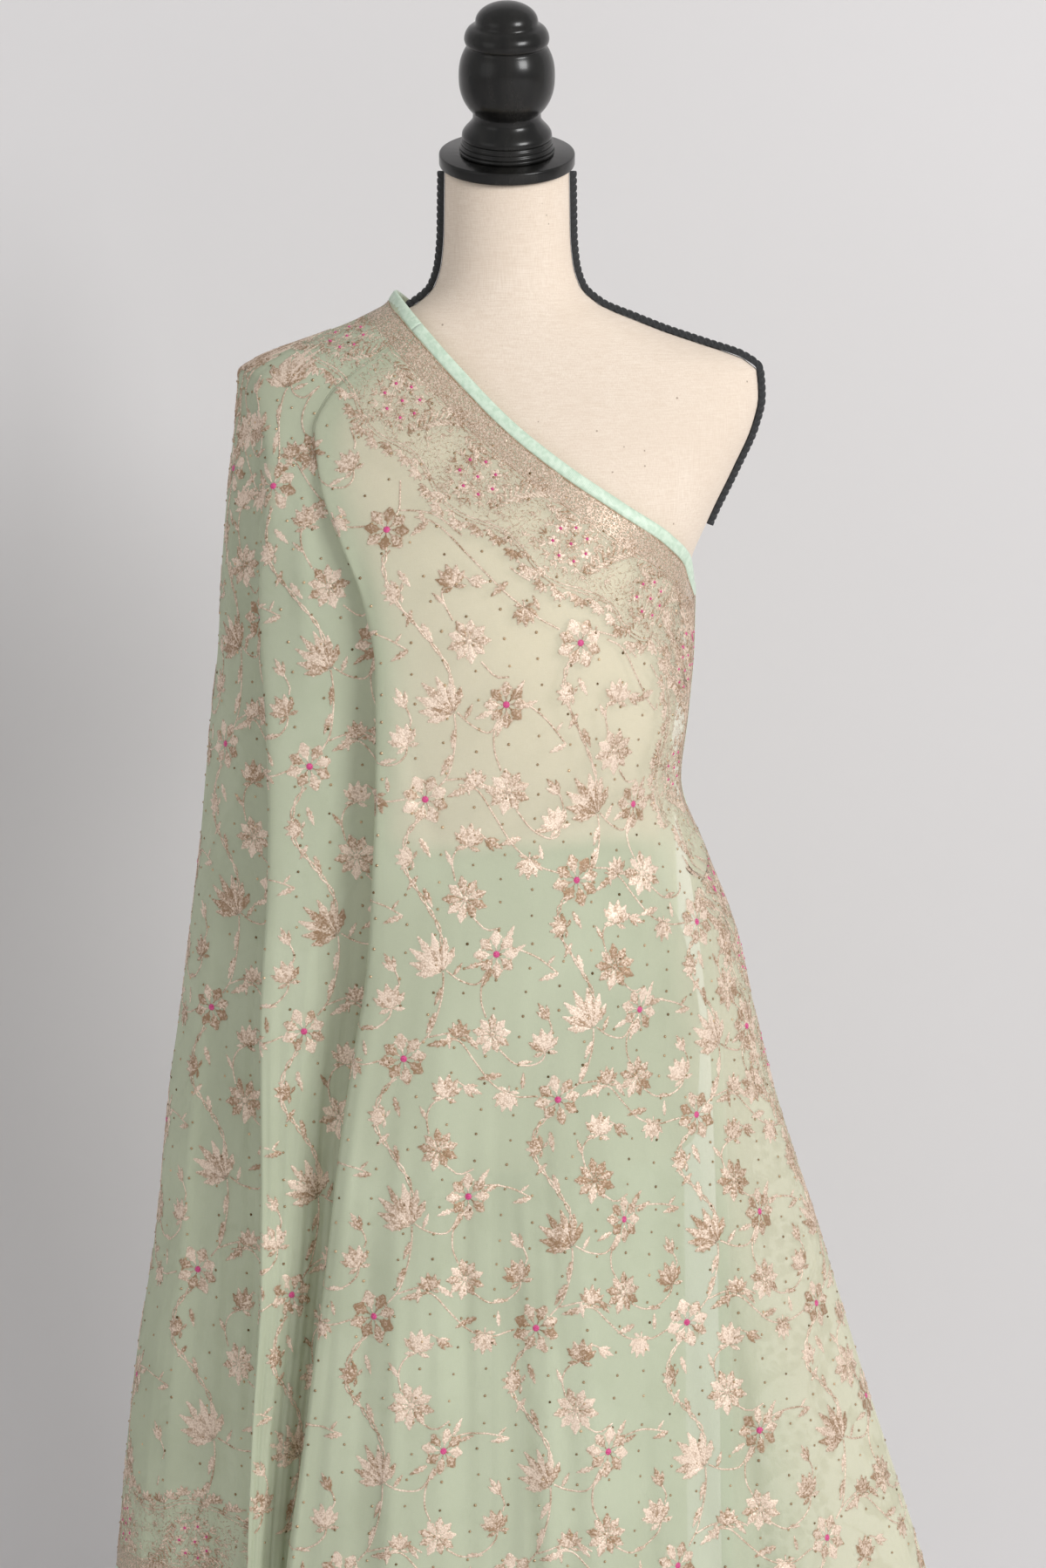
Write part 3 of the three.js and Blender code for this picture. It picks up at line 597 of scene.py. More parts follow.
def hem_line(first, last):
    """Lower edge between two stations."""
    stations = np.linspace(first, last, LINE_SAMPLES)
    return stations, hem_of(stations)


def upright_line(station, top, foot):
    """Edge that runs down one station."""
    return np.full(LINE_SAMPLES, float(station)), np.linspace(top, foot, LINE_SAMPLES)


def joined(*lines):
    """Lines on the cloth laid end to end."""
    return tuple(np.concatenate(parts) for parts in zip(*lines))


# ---- meshes ----


def show(name, points, faces, material, slot, shade=None, uv=None):
    """Mesh object of one piece from points in millimetres and faces of equal size."""
    mesh = bpy.data.meshes.new(name)
    mesh.vertices.add(len(points))
    mesh.vertices.foreach_set("co", (np.asarray(points) * METRE).astype(np.float32).ravel())
    faces = np.asarray(faces, np.int32)
    mesh.loops.add(faces.size)
    mesh.loops.foreach_set("vertex_index", faces.ravel())
    mesh.polygons.add(len(faces))
    starts = np.arange(0, faces.size, faces.shape[1], dtype=np.int32)
    mesh.polygons.foreach_set("loop_start", starts)
    mesh.polygons.foreach_set("use_smooth", np.ones(len(faces), bool))
    mesh.update(calc_edges=True)
    if shade is not None:
        column = mesh.attributes.new("shade", "FLOAT", "POINT")
        column.data.foreach_set("value", np.asarray(shade, np.float32))
    if uv is not None:
        layer = mesh.uv_layers.new(name="cloth")
        layer.data.foreach_set("uv", np.asarray(uv, np.float32)[faces.ravel()].ravel())
    mesh.materials.append(material)
    piece = bpy.data.objects.new(name, mesh)
    bpy.context.scene.collection.objects.link(piece)
    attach(piece, BODY)
    return piece


def grid_faces(columns, rows, flipped=False):
    """Quads of a grid of points laid column by column."""
    c, r = np.meshgrid(np.arange(columns - 1), np.arange(rows - 1), indexing="ij")
    a = (c * rows + r).ravel()
    quads = np.stack([a, a + rows, a + rows + 1, a + 1], 1)
    return quads[:, ::-1] if flipped else quads


def triangles(quads):
    """Two triangles for each quad."""
    return np.concatenate([quads[:, [0, 1, 2]], quads[:, [0, 2, 3]]])


def shell(outer, inner):
    """Closed thin shell of two grids [column, row, xyz]: columns run clockwise, rows run down."""
    columns, rows = outer.shape[:2]
    count = columns * rows
    points = np.concatenate([outer.reshape(-1, 3), inner.reshape(-1, 3)])
    index = np.arange(count).reshape(columns, rows)
    rim = np.concatenate([index[:, 0], index[-1, 1:], index[-2::-1, -1], index[0, -2:0:-1]])
    following = np.roll(rim, -1)
    wall = np.stack([rim + count, following + count, following, rim], 1)
    faces = [grid_faces(columns, rows), grid_faces(columns, rows, True) + count, wall]
    return points, np.concatenate(faces)


def tube(rings):
    """Closed skin through rings [ring, corner, xyz] that run anticlockwise seen from the far end."""
    count, corners = rings.shape[:2]
    index = np.arange(count * corners).reshape(count, corners)
    near = np.roll(index, -1, axis=1)
    sides = np.stack([index[:-1], near[:-1], near[1:], index[1:]], -1).reshape(-1, 4)
    points = rings.reshape(-1, 3)
    middles = np.stack([rings[0].mean(0), rings[-1].mean(0)])
    low, high = len(points), len(points) + 1
    first = np.stack([np.full(corners, low), near[0], index[0]], 1)
    last = np.stack([np.full(corners, high), index[-1], near[-1]], 1)
    return np.concatenate([points, middles]), np.concatenate([triangles(sides), first, last])


def turned(profile, corners=96):
    """Rings of a solid of revolution about Z, from [radius, height] pairs that rise."""
    profile = np.asarray(profile, float)
    angle = np.linspace(0, 2 * np.pi, corners, endpoint=False)
    radius = np.maximum(profile[:, :1], 0.01)
    flat = [radius * np.cos(angle), radius * np.sin(angle), profile[:, 1:] + 0 * angle]
    return np.stack(flat, -1)


# ---- shader tools ----


def colour(red, green, blue):
    """Linear colour from the display values 0 to 255."""
    share = np.array([red, green, blue]) / 255
    linear = np.where(share <= 0.04045, share / 12.92, ((share + 0.055) / 1.055) ** 2.4)
    return (*[float(v) for v in linear], 1.0)


class Wire:
    """An output of a node. Arithmetic on it adds Math nodes."""

    def __init__(self, finish, socket):
        self.finish = finish
        self.socket = socket

    def maths(self, operation, *values):
        inputs = {i: value for i, value in enumerate(values)}
        return self.finish.node("ShaderNodeMath", {"operation": operation}, inputs)

    def __add__(self, other):
        return self.maths("ADD", self, other)

    __radd__ = __add__

    def __mul__(self, other):
        return self.maths("MULTIPLY", self, other)

    __rmul__ = __mul__

    def __sub__(self, other):
        return self.maths("SUBTRACT", self, other)

    def __rsub__(self, other):
        return self.maths("SUBTRACT", other, self)

    def sine(self):
        return self.maths("SINE", self)

    def size(self):
        return self.maths("ABSOLUTE", self)

    def most(self, other):
        return self.maths("MAXIMUM", self, other)

    def between(self, low, high):
        """0 below low and 1 above high, smooth between."""
        settings = {"interpolation_type": "SMOOTHSTEP"}
        inputs = {"Value": self, "From Min": low, "From Max": high}
        return self.finish.node("ShaderNodeMapRange", settings, inputs)


class Finish:
    """A material under construction."""

    def __init__(self, name):
        self.material = bpy.data.materials.new(name)
        self.material.use_nodes = True
        self.tree = self.material.node_tree
        self.tree.nodes.clear()

    def node(self, kind, settings=None, inputs=None, output=0):
        """Adds a node with its settings, then its inputs' values or links, and gives an output."""
        node = self.tree.nodes.new(kind)
        for name, value in (settings or {}).items():
            setattr(node, name, value)
        for name, value in (inputs or {}).items():
            if isinstance(value, Wire):
                self.tree.links.new(value.socket, node.inputs[name])
            else:
                node.inputs[name].default_value = value
        return Wire(self, node.outputs[output]) if len(node.outputs) else node

    def place(self):
        """The piece's own coordinates, in metres."""
        return self.node("ShaderNodeTexCoord", output="Object")

    def uv(self):
        """The piece's own flat coordinates."""
        return self.node("ShaderNodeUVMap", {"uv_map": "cloth"})

    def stretched(self, vector, scale):
        """Coordinates scaled on each axis."""
        return self.node("ShaderNodeMapping", None, {"Vector": vector, "Scale": scale})

    def noise(self, vector, scale, detail=2.0, roughness=0.5):
        inputs = {"Vector": vector, "Scale": scale, "Detail": detail, "Roughness": roughness}
        return self.node("ShaderNodeTexNoise", None, inputs)

    def cells(self, vector, scale, feature="F1", output="Distance"):
        inputs = {"Vector": vector, "Scale": scale}
        return self.node("ShaderNodeTexVoronoi", {"feature": feature}, inputs, output)

    def split(self, vector):
        """The three numbers of a vector."""
        return [self.node("ShaderNodeSeparateXYZ", None, {0: vector}, k) for k in range(3)]

    def mix(self, share, first, second):
        """Mix of two colours."""
        settings = {"data_type": "RGBA"}
        inputs = {0: share, 6: first, 7: second}
        return self.node("ShaderNodeMix", settings, inputs, 2)

    def bump(self, height, strength, distance):
        inputs = {"Height": height, "Strength": strength, "Distance": distance}
        return self.node("ShaderNodeBump", None, inputs)

    def surface(self, **inputs):
        """Principled surface. Keywords are its sockets' names with _ for a space."""
        named = {name.replace("_", " "): value for name, value in inputs.items()}
        shader = self.node("ShaderNodeBsdfPrincipled", None, named)
        self.node("ShaderNodeOutputMaterial", None, {"Surface": shader})
        return self.material


def shade_wire(finish):
    """The piece's shade attribute, from 0 for dark to 1 for light: painted light and shade on thread, the
    doubled share on the georgette, tarnish on the dots.
    """
    return finish.node("ShaderNodeAttribute", {"attribute_name": "shade"}, output="Fac")


# ---- finishes ----


def georgette_finish(sizes):
    """Sheer crepe: fine uneven grain in its relief and in how much it lets through, and a painted glow of
    the lit linen where one layer lies on the form.
    """
    f = Finish("crepe_georgette")
    uv = f.uv()
    crepe = f.noise(f.stretched(uv, (1500, 1500, 1)), 1.0, 2.0, 0.6)
    warp = f.noise(f.stretched(uv, (2600, 160, 1)), 1.0, 1.0, 0.5)
    weft = f.noise(f.stretched(uv, (160, 2600, 1)), 1.0, 1.0, 0.5)
    broad = f.noise(f.stretched(uv, (9, 6, 1)), 1.0, 2.0, 0.5)
    doubled = shade_wire(f)
    cloth = f.mix(broad.between(0.3, 0.7), sizes.cloth_dark[:], sizes.cloth_light[:])
    # Painted light: single cloth on the form takes the lighter, warmer tone that stands for the lit linen
    # glowing through it.
    tint = f.mix(doubled.between(0, 0.8), sizes.cloth_painted_glow[:], cloth)
    grain = crepe * 0.5 + warp * 0.25 + weft * 0.25
    alpha = grain * 0.16 + lerp(sizes.sheer_cover, sizes.cover, doubled) - 0.08
    return f.surface(
        Base_Color=tint,
        Roughness=0.78,
        Alpha=alpha,
        Sheen_Weight=0.25,
        Sheen_Roughness=0.5,
        Sheen_Tint=colour(226, 236, 210),
        Normal=f.bump(grain, 0.35, 0.0004),
    )


def satin_finish(sizes):
    """Satin binding: a soft sheen with fine ribs across it and small puckers."""
    f = Finish("satin_ribbon")
    across, _, _ = f.split(f.uv())
    ribs = (across * 5200.0).sine()
    patches = f.noise(f.place(), 260.0, 2.0)
    tint = f.mix(patches.between(0.35, 0.65), sizes.satin_dark[:], sizes.satin_light[:])
    height = ribs * 0.3 + patches * 0.7
    return f.surface(
        Base_Color=tint,
        Roughness=patches * 0.15 + 0.3,
        Sheen_Weight=0.35,
        Sheen_Roughness=0.35,
        Normal=f.bump(height, 0.3, 0.0004),
    )


def thread_finish(sizes):
    """Metallic thread: short stitches that catch the light unevenly, painted as lighter and darker thread,
    with painted shade in the seams between them.
    """
    f = Finish("zari_thread")
    place = f.place()
    glint = f.cells(place, 820.0, "F1", "Color")
    red, green, _ = f.split(glint)
    seams = f.cells(place, 820.0)
    strands = f.noise(place, 900.0, 2.0, 0.6)
    patches = f.noise(place, 75.0, 1.0)
    # Painted light: petal and rib shade, random cell glints and broad patches mix the thread from shaded
    # to lit.
    light = shade_wire(f) * 0.6 + red * 0.55 + (patches - 0.5) * 0.9 - 0.05
    tint = f.mix(light.between(0.15, 0.9), sizes.thread_dark[:], sizes.thread_light[:])
    # Painted shade in the sunk seams between stitches.
    seam_shaded = f.mix(seams.between(0.4, 0.8) * 0.35, tint, sizes.thread_dark[:])
    return f.surface(
        Base_Color=seam_shaded,
        Metallic=0.25,
        Roughness=green * 0.2 + 0.36,
        Normal=f.bump(strands * 0.5 - seams * 0.5, 0.6, 0.0007),
    )


def pink_finish(sizes):
    """Silk knots in the middle of a flower."""
    f = Finish("pink_thread")
    strands = f.noise(f.place(), 1300.0, 2.0, 0.6)
    tint = f.mix(strands.between(0.35, 0.65), sizes.pink_dark[:], sizes.pink_light[:])
    return f.surface(
        Base_Color=tint, Roughness=0.42, Sheen_Weight=0.3, Normal=f.bump(strands, 0.6, 0.0006)
    )


def dot_finish(sizes):
    """Small pressed metal dots, each with its own tarnish."""
    f = Finish("metal_dots")
    tint = f.mix(shade_wire(f), sizes.dot_dark[:], sizes.dot_light[:])
    wear = f.noise(f.place(), 1800.0, 1.0)
    return f.surface(Base_Color=tint, Metallic=0.85, Roughness=wear * 0.25 + 0.18)


def net_finish(sizes):
    """Dense net of fine metallic thread: open meshes between twisted strands."""
    f = Finish("thread_net")
    uv = f.uv()
    wander = f.noise(f.stretched(uv, (420, 420, 1)), 1.0, 2.0, 0.6)
    rings = f.cells(f.stretched(uv, (430, 430, 1)), 1.0, "DISTANCE_TO_EDGE")
    specks = f.cells(f.stretched(uv, (1150, 1150, 1)), 1.0, "F1", "Color")
    red, _, _ = f.split(specks)
    strand = 1 - rings.between(0.10, 0.24)
    cover = (strand * 0.75 + red.between(0.25, 0.8) * 0.55 + (wander - 0.5) * 0.7).between(0.3, 0.8)
    tint = f.mix(red * 0.7 + wander * 0.3, sizes.thread_dark[:], sizes.thread_light[:])
    return f.surface(
        Base_Color=tint,
        Metallic=0.25,
        Roughness=0.42,
        Alpha=cover * 0.92,
        Normal=f.bump(strand + red * 0.4, 0.6, 0.0006),
    )


def filigree_finish(sizes):
    """Fine scrolling thread lines that fill the border between its flowers."""
    f = Finish("thread_filigree")
    uv = f.uv()
    bend_inputs = {"Vector": f.stretched(uv, (70, 70, 1)), "Scale": 1.0}
    bend = f.node("ShaderNodeTexNoise", None, bend_inputs, "Color")
    moved = f.node(
        "ShaderNodeVectorMath", {"operation": "MULTIPLY_ADD"}, {0: bend, 1: (0.02, 0.02, 0), 2: uv}
    )
    curls = f.cells(f.stretched(moved, (150, 150, 1)), 1.0, "DISTANCE_TO_EDGE")
    swirl = f.cells(f.stretched(moved, (150, 150, 1)), 1.0, "F1")
    loops = 1 - (swirl - 0.3).size().between(0.02, 0.06)
    lines = (1 - curls.between(0.02, 0.06)).most(loops)
    specks = f.cells(f.stretched(uv, (1000, 1000, 1)), 1.0, "F1", "Color")
    red, green, _ = f.split(specks)
    tint = f.mix(red, sizes.thread_dark[:], sizes.thread_light[:])
    return f.surface(
        Base_Color=tint,
        Metallic=0.25,
        Roughness=0.42,
        Alpha=lines * green.between(0.1, 0.6) * 0.75,
        Normal=f.bump(lines, 0.5, 0.0005),
    )


def linen_finish(sizes):
    """Plain-weave linen: slubs along both threads and a few brown flecks."""
    f = Finish("natural_linen")
    place = f.place()
    warp = f.noise(f.stretched(place, (1500, 1500, 90)), 1.0, 2.0, 0.6)
    weft = f.noise(f.stretched(place, (110, 110, 1700)), 1.0, 2.0, 0.6)
    broad = f.noise(place, 14.0, 2.0)
    fleck_cell = f.cells(f.stretched(place, (95, 95, 95)), 1.0)
    fleck_pick = f.noise(place, 60.0, 0.0)
    fleck = (1 - fleck_cell.between(0.05, 0.1)) * fleck_pick.between(0.56, 0.6)
    weave = warp * 0.5 + weft * 0.5
    cloth = f.mix(weave.between(0.3, 0.7), sizes.linen_dark[:], sizes.linen_light[:])
    aged = f.mix(broad.between(0.35, 0.7) * 0.35, cloth, sizes.linen_dark[:])
    tint = f.mix(fleck * 0.65, aged, sizes.linen_fleck[:])
    return f.surface(
        Base_Color=tint,
        Roughness=0.9,
        Sheen_Weight=0.15,
        Normal=f.bump(weave, 0.35, 0.0006),
    )


def gimp_finish(sizes):
    """Black corded braid."""
    f = Finish("gimp_braid")
    strands = f.noise(f.stretched(f.place(), (900, 900, 900)), 1.0, 2.0)
    tint = f.mix(strands, sizes.braid_dark[:], sizes.braid_light[:])
    return f.surface(
        Base_Color=tint, Roughness=0.75, Sheen_Weight=0.2, Normal=f.bump(strands, 0.6, 0.0006)
    )


def black_wood_finish(sizes):
    """Lacquered turned wood with a faint grain under the gloss."""
    f = Finish("lacquered_wood")
    place = f.place()
    grain = f.noise(f.stretched(place, (60, 60, 9)), 1.0, 3.0, 0.6)
    tint = f.mix(grain.between(0.35, 0.7), sizes.wood_dark[:], sizes.wood_light[:])
    return f.surface(
        Base_Color=tint,
        Roughness=grain * 0.05 + 0.24,
        Specular_IOR_Level=0.3,
        Coat_Weight=0.15,
        Coat_Roughness=0.12,
        Normal=f.bump(grain, 0.05, 0.0004),
    )


def paint_tint(f, sizes):
    """Broad faint clouds of the studio's paint."""
    return f.mix(f.noise(f.place(), 1.2, 2.0), sizes.paint_low[:], sizes.paint_high[:])


def floor_finish(sizes):
    """Pale matt paint of the floor."""
    f = Finish("studio_floor")
    return f.surface(Base_Color=paint_tint(f, sizes), Roughness=0.9)


def wall_finish(sizes):
    """Pale matt paint of the wall, which lets a view from behind it through."""
    f = Finish("studio_wall")
    paint = f.node("ShaderNodeBsdfDiffuse", None, {"Color": paint_tint(f, sizes)})
    clear = f.node("ShaderNodeBsdfTransparent")
    behind = f.node("ShaderNodeNewGeometry", output="Backfacing")
    mixed = f.node("ShaderNodeMixShader", None, {0: behind, 1: paint, 2: clear})
    f.node("ShaderNodeOutputMaterial", None, {"Surface": mixed})
    return f.material


# ---- sizes and colours that a user would change ----


def swatch(name, description, shade):
    """A colour property."""
    return bpy.props.FloatVectorProperty(
        name=name, description=description, subtype="COLOR", size=4, min=0, max=1, default=shade
    )


class ClothSizes(bpy.types.PropertyGroup):
    """Georgette and its satin binding."""

    thickness: bpy.props.FloatProperty(
        name="Thickness", description="Thickness of the georgette in millimetres", default=0.7
    )
    cover: bpy.props.FloatProperty(
        name="Cover", description="Share of light that each face stops", default=0.62, subtype="FACTOR"
    )
    sheer_cover: bpy.props.FloatProperty(
        name="Sheer cover",
        description="The same where one layer lies on the form",
        default=0.38,
        subtype="FACTOR",
    )
    binding_width: bpy.props.FloatProperty(
        name="Binding width", description="Width of the satin binding in millimetres", default=9.0
    )
    cloth_light: swatch("Light cloth", "Lighter tone of the georgette", colour(214, 221, 194))
    cloth_dark: swatch("Dark cloth", "Darker tone of the georgette", colour(202, 209, 182))
    # Lighter, warmer tone of the single cloth on the form: painted glow of the lit linen behind it.
    cloth_painted_glow: swatch("Painted glow cloth", "Georgette on the linen, with painted glow of the lit linen", colour(246, 242, 216))
    satin_light: swatch("Light satin", "Lighter tone of the binding", colour(216, 234, 214))
    satin_dark: swatch("Dark satin", "Darker tone of the binding", colour(198, 220, 198))


class EmbroiderySizes(bpy.types.PropertyGroup):
    """Metallic and silk embroidery."""

    relief: bpy.props.FloatProperty(
        name="Relief", description="Height of the stitches in millimetres", default=0.75
    )
    repeat_width: bpy.props.FloatProperty(
        name="Repeat width", description="Two columns of the half-drop repeat, in millimetres", default=120
    )
    repeat_height: bpy.props.FloatProperty(
        name="Repeat height", description="Height of the half-drop repeat in millimetres", default=204
    )
    border_depth: bpy.props.FloatProperty(
        name="Border depth", description="Depth of the border from the edge, in millimetres", default=86
    )
    dot_spacing: bpy.props.FloatProperty(
        name="Dot spacing", description="Distance between metal dots in millimetres", default=24
    )
    thread_light: swatch("Light thread", "Thread where it catches light", colour(246, 225, 206))
    thread_dark: swatch("Dark thread", "Thread in its own shade", colour(158, 127, 97))
    pink_light: swatch("Light pink", "Lighter silk of the knots", colour(228, 92, 152))
    pink_dark: swatch("Dark pink", "Darker silk of the knots", colour(196, 40, 112))
    dot_light: swatch("Light dots", "Bright metal dots", colour(226, 196, 160))
    dot_dark: swatch("Dark dots", "Tarnished metal dots", colour(96, 74, 44))


class FormSizes(bpy.types.PropertyGroup):
    """Dress form and its stand."""

    linen_light: swatch("Light linen", "Lighter threads of the linen", colour(243, 229, 213))
    linen_dark: swatch("Dark linen", "Darker threads of the linen", colour(226, 208, 189))
    linen_fleck: swatch("Linen fleck", "Bark flecks in the linen", colour(120, 92, 70))
    braid_light: swatch("Light braid", "Raised strands of the braid", colour(44, 46, 48))
    braid_dark: swatch("Dark braid", "Shaded strands of the braid", colour(16, 17, 19))
    wood_light: swatch("Light wood", "Grain of the black wood", colour(32, 31, 29))
    wood_dark: swatch("Dark wood", "Ground of the black wood", colour(14, 14, 13))


class StudioSizes(bpy.types.PropertyGroup):
    """Floor, wall, lights and camera."""

    key: bpy.props.FloatProperty(name="Key light", description="Strength in watts", default=200)
    fill: bpy.props.FloatProperty(name="Fill light", description="Strength in watts", default=6)
    sky: bpy.props.FloatProperty(name="Sky", description="Strength of the even light", default=0.5)
    paint_low: swatch("Dark paint", "Darker tone of the studio", colour(222, 220, 220))
    paint_high: swatch("Light paint", "Lighter tone of the studio", colour(228, 226, 227))


# ---- cloth ----

STRETCHES = {
    "return": {"first": 0, "last": FLARE_FOLD, "columns": 40, "rows": 110},
    "front": {"first": FLARE_FOLD, "last": SECOND_VALLEY, "columns": 176, "rows": 170},
    "pleat": {"first": SECOND_VALLEY, "last": LEFT_SIDE, "columns": 132, "rows": 160},
    "back": {"first": LEFT_SIDE, "last": BACK_END, "columns": 130, "rows": 150},
}
ROW_CROWDING = 1.25
WAIST_EDGE = (1012, 1046)
PANEL_EDGE = (7.3, 8.3)
FLARE_EDGE = (4.2, 5.6)
FLARE_SHEERNESS = 0.75


def even_stations(first, last, count):
    """Stations spaced by length across the cloth at the plain height."""
    fine = np.linspace(first, last, 400)
    length = across_of(fine, np.full_like(fine, PLAIN_HEIGHT))
    mixed = lerp((length - length[0]) / (length[-1] - length[0]), np.linspace(0, 1, 400), 0.35)
    return np.interp(np.linspace(0, 1, count), mixed, fine)


def stretch_grid(stretch):
    """Stations and heights of a stretch's grid: rows crowd towards the top edge."""
    stations = even_stations(stretch["first"], stretch["last"], stretch["columns"])
    is_return = stretch["last"] <= FLARE_FOLD
    tops = np.full_like(stations, RETURN_TOP) if is_return else top_of(stations)
    fall = np.linspace(0, 1, stretch["rows"]) ** ROW_CROWDING
    heights = lerp(tops[:, None], hem_of(stations)[:, None], fall[None, :])
    return np.broadcast_to(stations[:, None], heights.shape), heights


def layer_share(station, heights):
    """How far the cloth looks doubled: 0 where a single layer lies on the form, 1 elsewhere. Where it is
    low the cloth stops less light and takes its painted glow.
    """
    over_form = smoothstep(heights, *WAIST_EDGE) * (1 - smoothstep(station, *PANEL_EDGE))
    flare = (1 - smoothstep(station, *FLARE_EDGE)) * (1 - smoothstep(heights, *WAIST_EDGE))
    return 1 - over_form - FLARE_SHEERNESS * flare


def lay_stretch(name, material, thickness):
    """Shell of one stretch, half its thickness either side of the drape."""
    stations, heights = stretch_grid(STRETCHES[name])
    point, out = cloth_frame(stations, heights)
    points, faces = shell(point + out * thickness / 2, point - out * thickness / 2)
    across = across_of(stations, heights)
    uv = np.stack([across.ravel(), heights.ravel()], 1) * METRE
    # The doubled share, kept as the cloth's shade, sets its cover and where its painted glow shows.
    share = layer_share(stations, heights).ravel()
    shade, uv = np.concatenate([share, share]), np.concatenate([uv, uv])
    piece = show(f"{name}_cloth", points, faces, material, "georgette", shade, uv)
    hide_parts(f"{name}_stretch")
    return piece


# ---- bindings ----

# Depth into the cloth and lift over it, from the inner side round the edge to the outer side.
BINDING_PROFILE = np.array([
    [9.0, -0.4], [8.5, -0.95], [4.0, -1.15], [1.6, -1.1], [0.2, -0.7], [-0.3, 0.0], [0.2, 0.7],
    [1.6, 1.1], [4.0, 1.18], [6.5, 1.12], [8.5, 0.95], [9.0, 0.4],
])
NUDGE = 0.02
PUCKER = 0.22
PUCKER_SPACING = 3.4


def edge_frames(stations, heights):
    """Points of an edge with the outward direction and the one that leads into the cloth."""
    point, out = cloth_frame(stations, heights)
    along = unit(np.gradient(point, axis=0))
    return point, out, unit(np.cross(along, out))


def lay_binding(node, line, material, width):
    """Binding folded over an edge: a flat profile carried along it, puckered by its stitches."""
    stations, heights, length = edge_line(*line, spacing=2.2)
    point, out, inward = edge_frames(stations, heights)
    depth = BINDING_PROFILE[:, 0] * width / BINDING_PROFILE[:, 0].max()
    lift = BINDING_PROFILE[:, 1]
    wave = np.sin(2 * np.pi * length / PUCKER_SPACING + 1.7 * np.sin(length / 19.0))
    pucker = 1 + PUCKER * wave[:, None] * smoothstep(depth, 0, width)[None, :]
    rings = point[:, None] + inward[:, None] * depth[None, :, None]
    rings = rings + out[:, None] * (lift[None, :] * pucker)[..., None]
    points, faces = tube(rings)
    uv = np.stack([np.repeat(length, len(depth)), np.tile(np.cumsum(np.abs(depth)), len(length))], 1)
    uv = np.concatenate([uv, uv[:1], uv[-1:]]) * METRE
    piece = show(node.replace("binding", "satin"), points, faces, material, "satin", uv=uv)
    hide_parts(node)
    return piece


def binding_lines():
    """Each binding's CAD node and the edge that it is folded over."""
    return {
        "binding_front_top": top_line(SECOND_VALLEY, FLARE_FOLD + NUDGE),
        "binding_underarm": upright_line(FLARE_FOLD, UNDERARM - 2, RETURN_TOP),
        "binding_shoulder_front": top_line(LEFT_SIDE - 0.01, SECOND_VALLEY),
        "binding_back_top": top_line(BACK_END, LEFT_SIDE + 0.01),
        "binding_return_edge": upright_line(0, RETURN_TOP, hem_of(0)),
        "binding_hem_front": hem_line(FLARE_FOLD, SECOND_VALLEY),
        "binding_hem_pleat": hem_line(SECOND_VALLEY, LEFT_SIDE),
        "binding_hem_back": hem_line(LEFT_SIDE, BACK_END),
        "binding_hem_return": hem_line(0, FLARE_FOLD),
    }


# ---- embroidery shapes, charted on flat cloth ----

EDGE_SINK = 0.2
STITCH_BASE = 0.35


class Motif:
    """Flat shape with a height for each point: x to the right, y up, in millimetres."""

    def __init__(self, points, lift, faces, shade):
        self.points = points
        self.lift = lift
        self.faces = faces
        self.shade = shade

    def moved(self, x=0.0, y=0.0, turn=0.0, size=1.0, shade=0.0):
        """Copy turned anticlockwise by degrees, scaled, moved and lightened."""
        c, s = math.cos(math.radians(turn)), math.sin(math.radians(turn))
        spun = self.points @ np.array([[c, s], [-s, c]]) * size + (x, y)
        return Motif(spun, self.lift, self.faces, self.shade + shade)

    @staticmethod
    def joined(parts):
        """One motif of several."""
        counts = np.cumsum([0] + [len(p.points) for p in parts[:-1]])
        return Motif(
            np.concatenate([p.points for p in parts]),
            np.concatenate([p.lift for p in parts]),
            np.concatenate([p.faces + n for p, n in zip(parts, counts)]),
            np.concatenate([p.shade for p in parts]),
        )


def blade(length, width, fullness=1.2, teeth=0.16, rows=8, shade=0.5):
    """Petal or leaf from the origin up: half width follows sin(pi t^fullness), with a raised rib painted
    lighter than its edges.
    """
    t = np.linspace(0, 1, rows)
    saw = 1 + teeth * np.where(np.arange(rows) % 2, 1, -1)
    half = width / 2 * np.sin(np.pi * np.clip(t, 0.04, 0.97) ** fullness) ** 0.8 * saw
    x = np.stack([-half, 0 * half, half], 1)
    y = np.stack([t * length - half * 0.25, t * length, t * length - half * 0.25], 1)
    lift = np.tile([0.0, 1.0, 0.0], (rows, 1))
    points = np.stack([x, y], -1).reshape(-1, 2)
    faces = triangles(grid_faces(rows, 3, True))
    # Painted highlight on the rib and painted shade at the edges.
    tone = np.tile([shade - 0.15, shade + 0.2, shade - 0.15], rows)
    return Motif(points, lift.ravel(), faces, tone)


def dome(radius, corners=8, shade=0.5):
    """Small round knot: a ring and a raised middle."""
    angle = np.linspace(0, 2 * np.pi, corners, endpoint=False)
    ring = np.stack([np.cos(angle), np.sin(angle)], 1)
    points = np.concatenate([ring * radius, ring * radius * 0.6, [[0, 0]]])
    lift = np.concatenate([np.zeros(corners), np.full(corners, 0.9), [1.2]])
    i = np.arange(corners)
    j = (i + 1) % corners
    sides = triangles(np.stack([i, j, j + corners, i + corners], 1))
    cap = np.stack([i + corners, j + corners, np.full(corners, 2 * corners)], 1)
    tone = np.full(2 * corners + 1, shade)
    return Motif(points, lift, np.concatenate([sides, cap]), tone)


def spray(petals):
    """Petals from one middle: each is turn, length, width, fullness, shade and start distance; the shade
    paints each petal lit or shaded.
    """
    parts = []
    for turn, length, width, fullness, shade, start in petals:
        petal = blade(length, width, fullness, shade=shade)
        parts.append(petal.moved(y=start).moved(turn=turn))
    return Motif.joined(parts)


